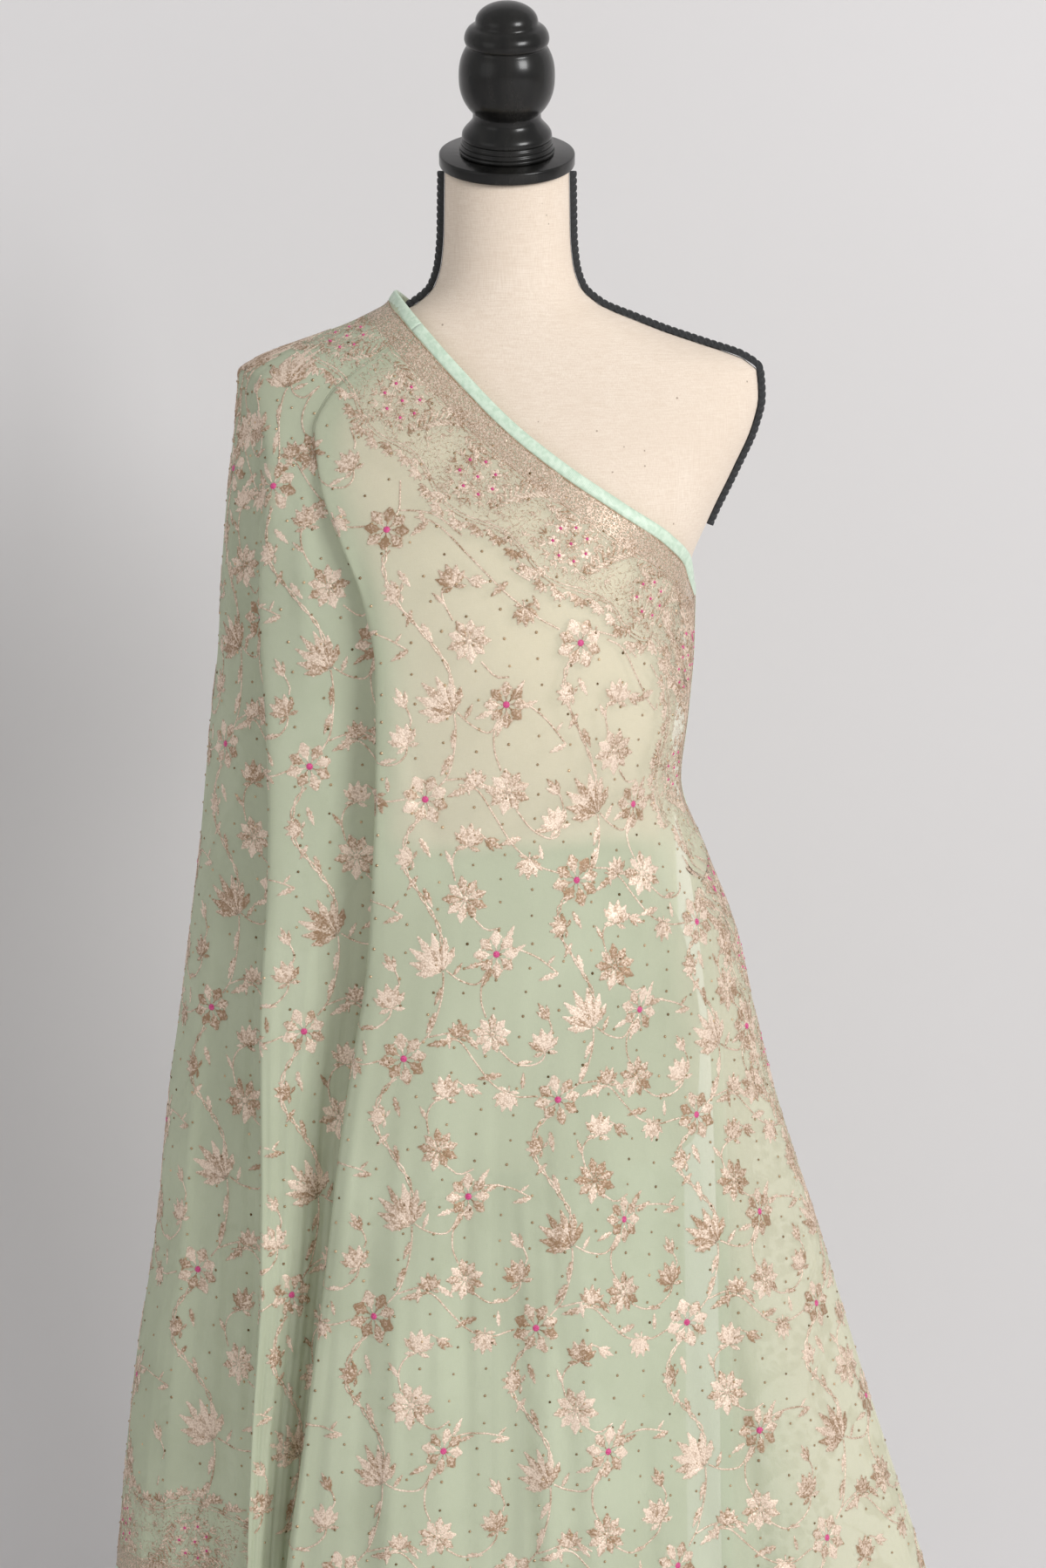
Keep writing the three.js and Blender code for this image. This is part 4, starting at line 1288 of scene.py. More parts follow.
def pink_flower():
    """Round flower of eight blunt petals round a pink knot."""
    lengths = (14.4, 12.8, 13.8, 12.4, 14.6, 13.0, 12.6, 13.6)
    # Painted light and shade: some petals lit, some in shade.
    shades = (0.85, 0.3, 0.65, 0.25, 0.55, 0.2, 0.75, 0.4)
    turns = np.arange(8) * 45.0
    return spray([(a, n, 10.6, 2.1, s, 2.2) for a, n, s in zip(turns, lengths, shades)])


def star_flower():
    """Open flower of nine broad pointed petals with a small thread ring."""
    lengths = (12.6, 11.4, 12.2, 11.6, 13.0, 11.2, 12.4, 11.8, 11.6)
    # Painted light and shade: some petals lit, some in shade.
    shades = (0.35, 0.75, 0.3, 0.6, 0.85, 0.4, 0.25, 0.7, 0.5)
    turns = np.arange(9) * 40.0 + 8
    petals = [(a, n, 7.8, 1.35, s, 1.8) for a, n, s in zip(turns, lengths, shades)]
    return Motif.joined([spray(petals), dome(2.4, 8, 0.7)])


def tulip_flower():
    """Half-open flower seen from the side: two tiers of narrow petals fan out from the stem."""
    turns = (-58, -38, -18, 2, 22, 42, 62, -28, -6, 14, 34)
    lengths = (17, 22, 26, 28, 26, 22, 17, 15, 17, 17, 15)
    starts = (1, 1, 1, 1, 1, 1, 1, 2, 2, 2, 2)
    # Painted light and shade: some petals lit, some in shade.
    shades = (0.35, 0.7, 0.85, 0.5, 0.8, 0.4, 0.6, 0.2, 0.3, 0.65, 0.25)
    rows = zip(turns, lengths, starts, shades)
    return spray([(a, n, 6.8, 1.6, s, d) for a, n, d, s in rows])


def lotus_flower():
    """Small lotus seen from the side, with two drooping sepals."""
    turns = (-50, -25, 0, 25, 50, -100, 100)
    lengths = (13, 15, 16, 15, 13, 8, 8)
    widths = (6.4, 7.4, 7.8, 7.4, 6.4, 4, 4)
    # Painted light and shade: some petals lit, some in shade.
    shades = (0.4, 0.7, 0.5, 0.75, 0.35, 0.5, 0.5)
    return spray([(a, n, w, 1.3, s, 0.6) for a, n, w, s in zip(turns, lengths, widths, shades)])


def bud():
    """Closed bud of three petals."""
    # The fifth number of each petal is its painted light or shade.
    petals = [(-24, 10.5, 4.4, 1.1, 0.4, 0), (24, 10.5, 4.4, 1.1, 0.7, 0), (0, 13.5, 5.2, 1.1, 0.6, 0.6)]
    return spray(petals)


def leaf():
    """Single saw-edged leaf."""
    return blade(14, 5.2, 0.85, 0.2, 9, 0.55)


# Motifs of the repeat's two columns: name, place from the column's pink flower, turn and size. The
# second column's flower lies half a repeat to the right of the first's and half a repeat down.
FIRST_COLUMN = (
    ("pink", 0, 0, 0, 1.0),
    ("leaf", 6, 11, -28, 0.95),
    ("leaf", 11, 6, -62, 0.85),
    ("leaf", 46, 8, 108, 0.95),
    ("leaf", 38, 11, -38, 0.55),
    ("leaf", -10, -11, 118, 0.9),
    ("leaf", -3, -13, 158, 0.9),
    ("star", 3, -65, 0, 1.04),
    ("lotus", 44, -63, 24, 1.0),
    ("bud", 43, -35, 34, 1.0),
    ("leaf", 25, -81, -84, 0.75),
)
SECOND_COLUMN = (
    ("pink", 0, 0, 22, 1.04),
    ("tulip", 20, 72, 42, 1.06),
    ("lotus", -7, -47, 78, 0.78),
    ("leaf", -3, -30, -155, 1.0),
    ("leaf", 2, -66, -158, 1.0),
    ("leaf", -3, -58, 150, 0.8),
    ("leaf", 18, 40, 162, 1.1),
    ("leaf", 20, 60, 168, 0.95),
    ("leaf", 28, 72, -22, 0.75),
    ("leaf", 29, 27, -172, 0.85),
    ("leaf", 42, 28, -128, 0.95),
    ("lotus", -37, -8, 176, 0.84),
    ("leaf", -44, 4, 112, 1.15),
    ("leaf", -27, -2, 12, 0.75),
    ("lotus", -79, 24, 8, 0.8),
    ("leaf", -84, 21, 118, 1.15),
    ("star", 33, -64, 10, 1.08),
    ("lotus", 33, -24, -8, 0.98),
    ("bud", 45, -13, -108, 0.95),
    ("leaf", 22, -42, 34, 0.75),
)
# Stems of both columns: control points from the column's flower, and how many strands twist.
FIRST_STEMS = (
    (1, ((-5, -14), (-9, -28), (-8, -42), (-3, -53))),
    (1, ((10, -75), (22, -82), (35, -79), (43, -70), (44, -62))),
    (1, ((46, -48), (47, -42), (43, -34))),
    (1, ((8, 10), (18, 12), (32, 12), (46, 8))),
)
SECOND_STEMS = (
    (2, ((-4, -15), (-13, -32), (-13, -54), (2, -74), (16, -94), (20, -122))),
    (1, ((9, 12), (16, 24), (20, 44), (21, 60), (20, 72))),
    (1, ((22, 74), (33, 69), (46, 70), (53, 86))),
    (1, ((-15, -4), (-31, -10), (-49, -6), (-64, 8), (-78, 22), (-92, 20))),
    (1, ((15, 20), (28, 26), (40, 29), (52, 22))),
    (1, ((25, -53), (22, -40), (25, -29), (33, -23))),
    (1, ((36, -14), (41, -9), (46, -12))),
    (1, ((40, -76), (50, -82), (60, -76))),
    (1, ((-37, -3), (-37, -8))),
)
CHART_SIZE = (116.0, 197.0)
MOTIF_SIZE = 1.1
KNOT_RADIUS = 2.8
KNOT_RELIEF = 1.4
STEM_WIDTH = 1.7
STEM_SHADE = 0.6
STEM_STEP = 3.4
TWIST_LENGTH = 22.0
TWIST_WIDTH = 1.2
FLATTEST_RISE = 2.4


def local_frame(across, z):
    """How distance across and height change for a step right or up on the cloth."""
    d = 2.0
    z = np.clip(z, KNOT_HEIGHTS[0] + d, NECK_POINT - d)
    across = np.clip(across, across_of(0 * z, z) + d, across_of(0 * z + BACK_END, z) - d)
    side = (drape(station_of(across + d, z), z) - drape(station_of(across - d, z), z)) / (2 * d)
    rise = drape(station_of(across, z + d), z + d) - drape(station_of(across, z - d), z - d)
    rise = rise / (2 * d)
    out = unit(np.cross(rise, side))
    up = unit(rise)
    right = np.cross(up, out)
    return {
        "right": right,
        "up": up,
        "out": out,
        "side_right": (side * right).sum(-1),
        "side_up": (side * up).sum(-1),
        "rise_up": (rise * up).sum(-1),
    }


def spun(motif, turn, size):
    """A motif's points turned by degrees and scaled, a row for each copy."""
    turned_by = np.radians(turn)[:, None]
    c, s = np.cos(turned_by), np.sin(turned_by)
    x, y = motif.points.T
    return (x * c - y * s) * size[:, None], (x * s + y * c) * size[:, None]


def copies(motif, points, faces, shade):
    """Points, faces and shades of a motif's copies, from points [copy, point, xyz]."""
    offsets = np.arange(len(points)) * len(motif.points)
    tone = motif.shade[None] + shade[:, None]
    return points.reshape(-1, 3), (faces[None] + offsets[:, None, None]).reshape(-1, 3), tone.ravel()


def lay_motifs(motif, across, z, turn, size, shade, relief):
    """Copies of a motif, each true to size on the curved cloth; none where the cloth lies too flat."""
    frame_at = local_frame(across, z)
    steep = frame_at["rise_up"] < FLATTEST_RISE
    frame_at = {name: value[steep] for name, value in frame_at.items()}
    turn, size, shade = (np.broadcast_to(value, across.shape)[steep] for value in (turn, size, shade))
    across, z = across[steep], z[steep]
    side_right, side_up, rise_up = (frame_at[k][:, None] for k in ("side_right", "side_up", "rise_up"))
    right, up = spun(motif, turn, size)
    move_across = right / side_right
    move_up = (up - move_across * side_up) / rise_up
    lift = STITCH_BASE - EDGE_SINK + motif.lift * relief
    points = on_cloth(across[:, None] + move_across, z[:, None] + move_up, lift + 0 * right)
    return copies(motif, points, motif.faces, shade)


def lay_ribbons(lines_across, lines_z, keep, width, shade, relief):
    """Narrow raised ribbons along lines [line, place] on the cloth, left out where keep is false. Their
    raised middle is painted lighter and their sides darker.
    """
    middle = on_cloth(lines_across, lines_z, np.full_like(lines_z, STITCH_BASE))
    out = out_near(lines_across, lines_z)
    along = unit(np.gradient(middle, axis=1))
    side = unit(np.cross(out, along))
    half = side * width / 2
    low = -EDGE_SINK
    rings = np.stack(
        [middle - half + out * low, middle + out * (low + relief), middle + half + out * low], 2
    )
    lines, places = middle.shape[:2]
    index = np.arange(lines * places * 3).reshape(lines, places, 3)
    live = (keep[:, :-1] & keep[:, 1:]).reshape(-1)
    faces = []
    for k in range(2):
        a, b = index[:, :-1, k], index[:, 1:, k]
        quads = np.stack([a, b, b + 1, a + 1], -1).reshape(-1, 4)[live]
        faces.append(triangles(quads))
    # Painted highlight along the raised middle and painted shade along the sides.
    tone = np.broadcast_to(np.array([-0.15, 0.2, -0.15]) + shade, (lines, places, 3))
    return rings.reshape(-1, 3), np.concatenate(faces), tone.ravel()


def gather(parts):
    """Points, faces and shades of several laid parts as one mesh, without unused points."""
    counts = np.cumsum([0] + [len(p[0]) for p in parts[:-1]])
    points = np.concatenate([p[0] for p in parts])
    faces = np.concatenate([p[1] + n for p, n in zip(parts, counts)])
    shades = np.concatenate([p[2] for p in parts])
    used, faces = np.unique(faces, return_inverse=True)
    return points[used], faces.reshape(-1, 3), shades[used]


def edge_points(*lines):
    """Points along bordered edges."""
    return np.concatenate([drape(*edge_line(*line, spacing=8)[:2]) for line in lines])


OUTER_EDGES = edge_points(
    top_line(BACK_END, FLARE_FOLD + NUDGE),
    upright_line(FLARE_FOLD, UNDERARM, RETURN_TOP),
    hem_line(FLARE_FOLD, BACK_END),
)
RETURN_EDGES = edge_points(upright_line(0, RETURN_TOP, hem_of(0)), hem_line(0, FLARE_FOLD))
EDGE_CHUNK = 60


def clear_of_border(across, z, margin):
    """Whether places lie on the cloth and at least margin from each bordered edge of its layer."""
    station = station_of(across, z)
    flat = drape(station, z).reshape(-1, 3)
    on_return = (station <= FLARE_FOLD).ravel()
    nearest = np.full(len(flat), np.inf)
    for edges, layer in ((OUTER_EDGES, ~on_return), (RETURN_EDGES, on_return)):
        if not layer.any():
            continue
        for start in range(0, len(edges), EDGE_CHUNK):
            chunk = edges[start : start + EDGE_CHUNK]
            gap = np.linalg.norm(flat[layer][:, None] - chunk[None], axis=-1).min(1)
            nearest[layer] = np.minimum(nearest[layer], gap)
    tops = np.where(station <= FLARE_FOLD, RETURN_TOP, top_of(station))
    inside = (z < tops) & (z > hem_of(station))
    inside &= (across > MARKS[0] + 3) & (across < MARKS[-1] - 3)
    return inside & (nearest.reshape(across.shape) > margin)


FIRST_FLOWER = (-94.0, 178.0)


def repeat_places(width, height):
    """Flat places of the repeat's first pink flowers over the whole cloth."""
    columns = np.arange(math.floor(MARKS[0] / width) - 1, math.ceil(MARKS[-1] / width) + 2)
    rows = np.arange(-1, math.ceil((NECK_POINT + 200) / height) + 1)
    c, r = np.meshgrid(columns, rows, indexing="ij")
    return (c * width + FIRST_FLOWER[0]).ravel(), (r * height + FIRST_FLOWER[1]).ravel()


def stretch_mask(across, z, name):
    """Which places belong to a stretch."""
    station = station_of(across, z)
    stretch = STRETCHES[name]
    return (station >= stretch["first"]) & (station < stretch["last"])


MOTIF_REACH = {"pink": 12, "star": 12, "tulip": 18, "lotus": 12, "bud": 9, "leaf": 8}
DOT_RADIUS = 1.15
DOT_RELIEF = 0.9
DOT_MARGIN = 14
DOT_ROW_SHARE = 0.9
DOT_STAGGER = 0.1


def jaal_parts(name, sizes, rng):
    """Thread and pink parts of the field pattern on one stretch."""
    shapes = {
        "pink": pink_flower(),
        "star": star_flower(),
        "tulip": tulip_flower(),
        "lotus": lotus_flower(),
        "bud": bud(),
        "leaf": leaf(),
    }
    knot = dome(KNOT_RADIUS, 10)
    base_across, base_height = repeat_places(sizes.repeat_width, sizes.repeat_height)
    widen, stretch = sizes.repeat_width / CHART_SIZE[0], sizes.repeat_height / CHART_SIZE[1]
    second = np.array([CHART_SIZE[0], -CHART_SIZE[1]]) / 2
    motifs = [*FIRST_COLUMN]
    motifs += [(kind, x + second[0], y + second[1], turn, n) for kind, x, y, turn, n in SECOND_COLUMN]
    stems = [(n, np.array(path)) for n, path in FIRST_STEMS]
    stems += [(n, np.array(path) + second) for n, path in SECOND_STEMS]
    threads, knots = [], []
    for kind, x, y, turn, size in motifs:
        # Distance across grows to the viewer's left, so a step right is a step back.
        across = base_across - x * widen
        z = place_flat(across, base_height + y * stretch)
        margin = sizes.border_depth + MOTIF_REACH[kind]
        here = clear_of_border(across, z, margin) & stretch_mask(across, z, name)
        if not here.any():
            continue
        across, z = across[here], z[here]
        count = len(across)
        turns = turn + rng.uniform(-9, 9, count)
        scale = MOTIF_SIZE * size * rng.uniform(0.93, 1.07, count)
        # Each copy is painted a little lighter or darker at random, as if it caught more or less light.
        tone = rng.uniform(-0.3, 0.3, count)
        threads.append(lay_motifs(shapes[kind], across, z, turns, scale, tone, sizes.relief))
        if kind == "pink":
            knots.append(lay_motifs(knot, across, z, turns, 1.0, 0.0, sizes.relief * KNOT_RELIEF))
    for strands, control in stems:
        path = smooth_line(control, 6)
        length = length_along(path)
        even = np.linspace(0, length[-1], max(int(length[-1] / STEM_STEP), 3))
        path = at_lengths(even, length, path)
        normal = unit(np.stack([-np.gradient(path[:, 1]), np.gradient(path[:, 0])], 1))
        for strand in range(strands):
            swing = math.pi * strand + 2 * np.pi * even / TWIST_LENGTH
            aside = TWIST_WIDTH * np.cos(swing) if strands > 1 else 0 * even
            strand_path = path + normal * aside[:, None]
            across = base_across[:, None] - strand_path[None, :, 0] * widen
            z = place_flat(across, base_height[:, None] + strand_path[None, :, 1] * stretch)
            keep = clear_of_border(across, z, sizes.border_depth + 2) & stretch_mask(across, z, name)
            some = keep.any(1)
            if some.any():
                kept = across[some], z[some], keep[some]
                threads.append(lay_ribbons(*kept, STEM_WIDTH, STEM_SHADE, sizes.relief))
    return gather(threads), gather(knots) if knots else None


def dot_parts(name, sizes, rng):
    """Metal dots on a close staggered grid over one stretch."""
    spacing = sizes.dot_spacing
    columns = np.arange(math.floor(MARKS[0] / spacing), math.ceil(MARKS[-1] / spacing) + 1)
    rows = np.arange(0, math.ceil((NECK_POINT + 100) / (spacing * DOT_ROW_SHARE)))
    c, r = np.meshgrid(columns, rows, indexing="ij")
    across = (c * spacing + rng.uniform(-2, 2, c.shape)).ravel()
    staggered = (r * DOT_ROW_SHARE + np.where(c % 2, DOT_STAGGER, 0)) * spacing
    z = place_flat(across, (staggered + rng.uniform(-2, 2, c.shape)).ravel())
    here = clear_of_border(across, z, DOT_MARGIN) & stretch_mask(across, z, name)
    across, z = across[here], z[here]
    tone = rng.uniform(-0.5, 0.5, len(across)) ** 3 * 4
    size = rng.uniform(0.9, 1.15, len(across))
    return gather([lay_motifs(dome(DOT_RADIUS, 7), across, z, 0.0, size, tone, DOT_RELIEF)])


# ---- border ----

BAND_STEP = 4.0
BAND_MARGIN = 16


class Band:
    """Strip of cloth beside an edge. Places in it are length along the edge and depth from it."""

    def __init__(self, line, depth):
        stations, heights, self.length = edge_line(*line, spacing=4.0)
        inward = edge_frames(stations, heights)[2]
        across, z = across_of(stations, heights), heights.copy()
        steps = int(depth / BAND_STEP) + 2
        all_across, all_z = [across], [z]
        for _ in range(steps):
            at = local_frame(across, z)
            inward = unit(inward - at["out"] * (inward * at["out"]).sum(-1, keepdims=True))
            to_right, to_up = (inward * at["right"]).sum(-1), (inward * at["up"]).sum(-1)
            move = to_right / at["side_right"]
            across = across + BAND_STEP * move
            z = z + BAND_STEP * (to_up - move * at["side_up"]) / at["rise_up"]
            z = np.clip(z, KNOT_HEIGHTS[0], NECK_POINT)
            across = np.clip(across, across_of(0 * z, z), across_of(0 * z + BACK_END, z))
            all_across.append(across)
            all_z.append(z)
        self.grid = np.stack([np.stack(all_across, 1), np.stack(all_z, 1)], -1)

    def place(self, along, depth):
        """Distance across the cloth and height of places in the strip."""
        row = along / self.length[-1] * (len(self.length) - 1)
        spot = bilinear(self.grid, row, depth / BAND_STEP)
        return spot[..., 0], spot[..., 1]

    def lay(self, motif, along, depth, turn, size, shade, relief=0.6):
        """Copies of a motif: x runs along the edge and y runs into the cloth."""
        spots = [np.broadcast_to(value, along.shape) for value in (depth, turn, size, shade)]
        depth, turn, size, shade = spots
        x, y = spun(motif, turn, size)
        across, z = self.place(along[:, None] + x, depth[:, None] + y)
        points = on_cloth(across, z, STITCH_BASE - EDGE_SINK + motif.lift * relief + 0 * x)
        return copies(motif, points, motif.faces[:, ::-1], shade)

    def ribbon(self, along, depth, width, shade=0.55, relief=0.5):
        """Raised ribbons along lines [line, place] in the strip."""
        across, z = self.place(along, depth)
        keep = (along >= 0) & (along <= self.length[-1])
        return lay_ribbons(across, z, keep, width, shade, relief)

    def strip(self, near, far, rows, height):
        """Plain strip of cloth between two depths, with its flat coordinates."""
        along = np.linspace(0, self.length[-1], max(int(self.length[-1] / 5), 2))
        depth = np.linspace(near, far, rows)
        grid_along, grid_depth = np.meshgrid(along, depth, indexing="ij")
        across, z = self.place(grid_along, grid_depth)
        points = on_cloth(across, z, np.full_like(z, height))
        uv = np.stack([grid_along.ravel(), grid_depth.ravel()], 1) * METRE
        return points.reshape(-1, 3), grid_faces(len(along), rows, True), uv


BOUQUET_DEPTH = 49.0
BOUQUET_FOOT = 66.0
BOUQUET_SIZE = 1.15
BOUQUET_DOTS = np.array([
    (0, 0), (11, 0), (6.9, 8.6), (-2.4, 10.7), (-9.9, 4.8), (-9.9, -4.8), (-2.4, -10.7), (6.9, -8.6),
]) * BOUQUET_SIZE
SPRIG_RING = 17.5
# Feathers about each bouquet: length, leaflets, place along, depth, turn and size.
FEATHERS = (
    (58, 15, 19, 64, -142, 1.0),
    (26, 9, -26, 34, -60, 0.9),
    (26, 9, 24, 33, -100, 0.8),
    (26, 9, -4, 72, 60, 0.8),
)
SCALLOP_DEPTH = 74.0
BLOSSOM_DEPTH = 80.0
SCALLOP_RISE = 5.0
RIBBON_STEP = 3
FILL_SPACING = 7
FILL_DEPTH = (31, 72)
BORDER_REPEAT = 79.0
BLOSSOM_SPACING = 13.0
NET_DEPTH = (10.0, 27.0)


def small_flower(radius, petals=5, shade=0.5):
    """Tiny flower of round petals."""
    turns = np.arange(petals) * 360.0 / petals
    # Painted light and shade: petals lit and shaded in turn.
    tones = shade + 0.2 * np.cos(np.arange(petals) * 2.1)
    parts = [blade(radius, radius * 0.9, 1.5, 0.0, 5, t).moved(turn=a) for a, t in zip(turns, tones)]
    return Motif.joined(parts)


def feather(length, count):
    """Curved feathery leaf: a row of slanted leaflets on each side of a bowed rib."""
    t = np.linspace(0.04, 0.96, count)
    bow = 8.0 * np.sin(np.pi * t) ** 1.3
    parts = []
    for k, (share, aside) in enumerate(zip(t, bow)):
        reach = 7.0 * math.sin(math.pi * min(share + 0.1, 1.0)) + 3.0
        lean = 34 * math.cos(math.pi * share)
        for side in (-1, 1):
            # Painted light and shade: leaflets on one side lighter than on the other, and alternate
            # leaflets lighter and darker.
            leaflet = blade(reach, 2.7, 1.2, 0.0, 4, 0.5 + 0.2 * side + 0.3 * (k % 2 - 0.5))
            parts.append(leaflet.moved(aside + side * 0.9, share * length, side * 46 - lean))
    return Motif.joined(parts)


def blossom():
    """Scallop blossom: five petals fan out from a short stem."""
    turns = enumerate((-62, -31, 0, 31, 62))
    # Painted light and shade: petals lit and shaded in turn.
    return spray([(a, 7.6 - 0.02 * abs(a), 3.6, 1.4, 0.45 + 0.1 * (k % 3), 0.4) for k, a in turns])


def sprig():
    """Small filling sprig of three leaves."""
    parts = [blade(7, 2.4, 1.0, 0.0, 5, 0.5).moved(turn=a) for a in (-42, 0, 42)]
    return Motif.joined(parts)


def border_parts(line, sizes, rng):
    """Thread, knots, net and filigree of the border along one edge."""
    band = Band(line, sizes.border_depth + BAND_MARGIN)
    total = band.length[-1]
    repeats = max(int(round(total / BORDER_REPEAT)), 1)
    pitch = total / repeats
    middles = (np.arange(repeats) + 0.5) * pitch
    threads, knots = [], []

    def tone(count):
        # Each copy is painted a little lighter or darker at random, as if it caught more or less light.
        return rng.uniform(-0.25, 0.25, count)

    flower = small_flower(4.6)
    for x, y in BOUQUET_DOTS:
        spot = middles + x, BOUQUET_DEPTH + y
        threads.append(band.lay(flower, *spot, 20.0, 1.0, tone(repeats)))
        knots.append(band.lay(dome(1.45, 6), *spot, 0, 1, 0, 1.1))
    for turn in np.arange(0, 360, 24.0):
        x, y = SPRIG_RING * math.cos(math.radians(turn)), SPRIG_RING * math.sin(math.radians(turn))
        spot = middles + x, BOUQUET_DEPTH + y
        threads.append(band.lay(sprig(), *spot, turn - 70, 0.8, tone(repeats)))
    t = np.linspace(0, 1, 7)[None]
    for x, y in BOUQUET_DOTS[1:]:
        stalk = BOUQUET_FOOT + (y + BOUQUET_DEPTH - BOUQUET_FOOT) * t + 0 * middles[:, None]
        threads.append(band.ribbon(middles[:, None] + x * t, stalk, 0.8))
    for length, count, x, y, turn, size in FEATHERS:
        threads.append(band.lay(feather(length, count), middles + x, y, turn, size, tone(repeats)))

    def scallop(along, depth):
        return depth + SCALLOP_RISE * np.cos(2 * np.pi * (along - middles[0]) / pitch)

    line_along = np.linspace(0, total, int(total / RIBBON_STEP))[None]
    wave = scallop(line_along, SCALLOP_DEPTH)
    threads.append(band.ribbon(line_along, wave, 1.3))
    threads.append(band.ribbon(line_along, wave + 2.6, 1.0, 0.4))
    threads.append(band.ribbon(line_along, 29 + 1.2 * np.sin(line_along / 4.0), 1.1))
    threads.append(band.ribbon(line_along, NET_DEPTH[0] - 0.1 + 0 * line_along, 1.3, 0.05, 0.9))
    threads.append(band.ribbon(line_along, NET_DEPTH[1] + 0.2 + 0 * line_along, 1.0, 0.3))
    count = max(int(round(total / BLOSSOM_SPACING)), 1)
    spots = (np.arange(count) + 0.5) * total / count
    depth = scallop(spots, BLOSSOM_DEPTH)
    threads.append(band.lay(blossom(), spots, depth, rng.uniform(-20, 20, count), 1.05, tone(count)))
    threads.append(band.lay(sprig(), spots + total / count / 2, depth - 4, 0.0, 0.9, tone(count)))
    fill = int(total / FILL_SPACING)
    places = rng.uniform(4, total - 4, fill)
    depths, turns = rng.uniform(*FILL_DEPTH, fill), rng.uniform(0, 360, fill)
    threads.append(band.lay(sprig(), places, depths, turns, 0.62, tone(fill)))
    net = band.strip(*NET_DEPTH, 5, 0.62)
    filigree = band.strip(NET_DEPTH[1] + 0.5, 76.0, 10, 0.5)
    return gather(threads), gather(knots), net, filigree


BORDER_EDGES = {
    "front_top": ("front", joined(
        top_line(SECOND_VALLEY, FLARE_FOLD + NUDGE), upright_line(FLARE_FOLD, UNDERARM - 2, RETURN_TOP)
    )),
    "pleat_top": ("pleat", top_line(LEFT_SIDE, SECOND_VALLEY)),
    "back_top": ("back", top_line(BACK_END, LEFT_SIDE)),
    "return_edge": ("return", upright_line(0, RETURN_TOP, hem_of(0))),
    "hem_front": ("front", hem_line(FLARE_FOLD, SECOND_VALLEY)),
    "hem_pleat": ("pleat", hem_line(SECOND_VALLEY, LEFT_SIDE)),
    "hem_back": ("back", hem_line(LEFT_SIDE, BACK_END)),
    "hem_return": ("return", hem_line(0, FLARE_FOLD)),
}


# ---- dress form ----

TORSO_ROWS = table(
    "z half front seam back power",
    [
        [770, 140, -96, 0, 102, 2.2],
        [778, 147, -103, 0, 108, 2.2],
        [860, 150, -108, 0, 114, 2.2],
        [930, 138, -104, 0, 104, 2.2],
        [995, 117, -93, 0, 84, 2.1],
        [1060, 122, -104, 0, 86, 2.1],
        [1130, 132, -121, 0, 97, 2.05],
        [1190, 136, -127, 0, 106, 2.0],
        [1218, 138, -124, 0, 109, 2.0],
        [1258, 153, -112, 0, 111, 2.0],
        [1298, 172, -94, 0, 106, 2.0],
        [1330, 186, -80, 0, 97, 2.0],
        [1351, 190.5, -70, 0, 86, 2.0],
        [1371, 189, -62, 0, 74, 1.95],
        [1380, 178, -60, 0, 71, 1.9],
        [1390, 149, -58, 0, 68, 1.85],
        [1400, 119, -56, 0, 65, 1.85],
        [1409, 96, -54, 0, 62, 1.9],
        [1420, 70, -52, 0, 58, 1.95],
        [1434, 55, -50, -1, 53, 2.0],
        [1452, 49.5, -50, -3, 46, 2.0],
        [1474, 47.5, -52, -6, 42, 2.0],
        [1500, 47, -56, -10, 37, 2.0],
        [1525, 46.5, -61, -14.5, 32, 2.0],
    ],
)
NECK_LEAN = math.radians(18)
NECK_LEAN_STARTS = 1420
NECK_TOP = 1525
NECK_SEAM = -14.5
TORSO_FLOOR = 770
BRAID_LOWER_END = 1255
BRAID_STITCH = 5.2
BRAID_STEP = 0.9
BRAID_HALF_WIDTH = 6.0
BRAID_ARCH = 2.7
BRAID_CHEVRON = 2.3
BRAID_LIFT = 0.4
SEAM = 0.3


def torso_rings(z, corners):
    """Rounded outlines about the side seams, leaning with the neck."""
    size = {name: track(TORSO_ROWS, "z", name, z)[:, None] for name in TORSO_ROWS if name != "z"}
    lean = NECK_LEAN * smoothstep(z, NECK_LEAN_STARTS, NECK_TOP)[:, None]
    angle = np.linspace(0, 2 * np.pi, corners, endpoint=False)[None]
    c, s = np.cos(angle), np.sin(angle)
    bend = 2 / size["power"]
    depth = np.where(s < 0, size["seam"] - size["front"], size["back"] - size["seam"])
    x = size["half"] * signed_power(c, bend)
    y = depth * signed_power(s, bend)
    return np.stack([x, size["seam"] + y * np.cos(lean), z[:, None] + y * np.sin(lean)], -1)


def torso_heights(step):
    """Heights of the torso's rings, the table's rows among them."""
    even = np.arange(TORSO_FLOOR, NECK_TOP, step)
    return np.unique(np.round(np.concatenate([even, TORSO_ROWS["z"]]), 2))


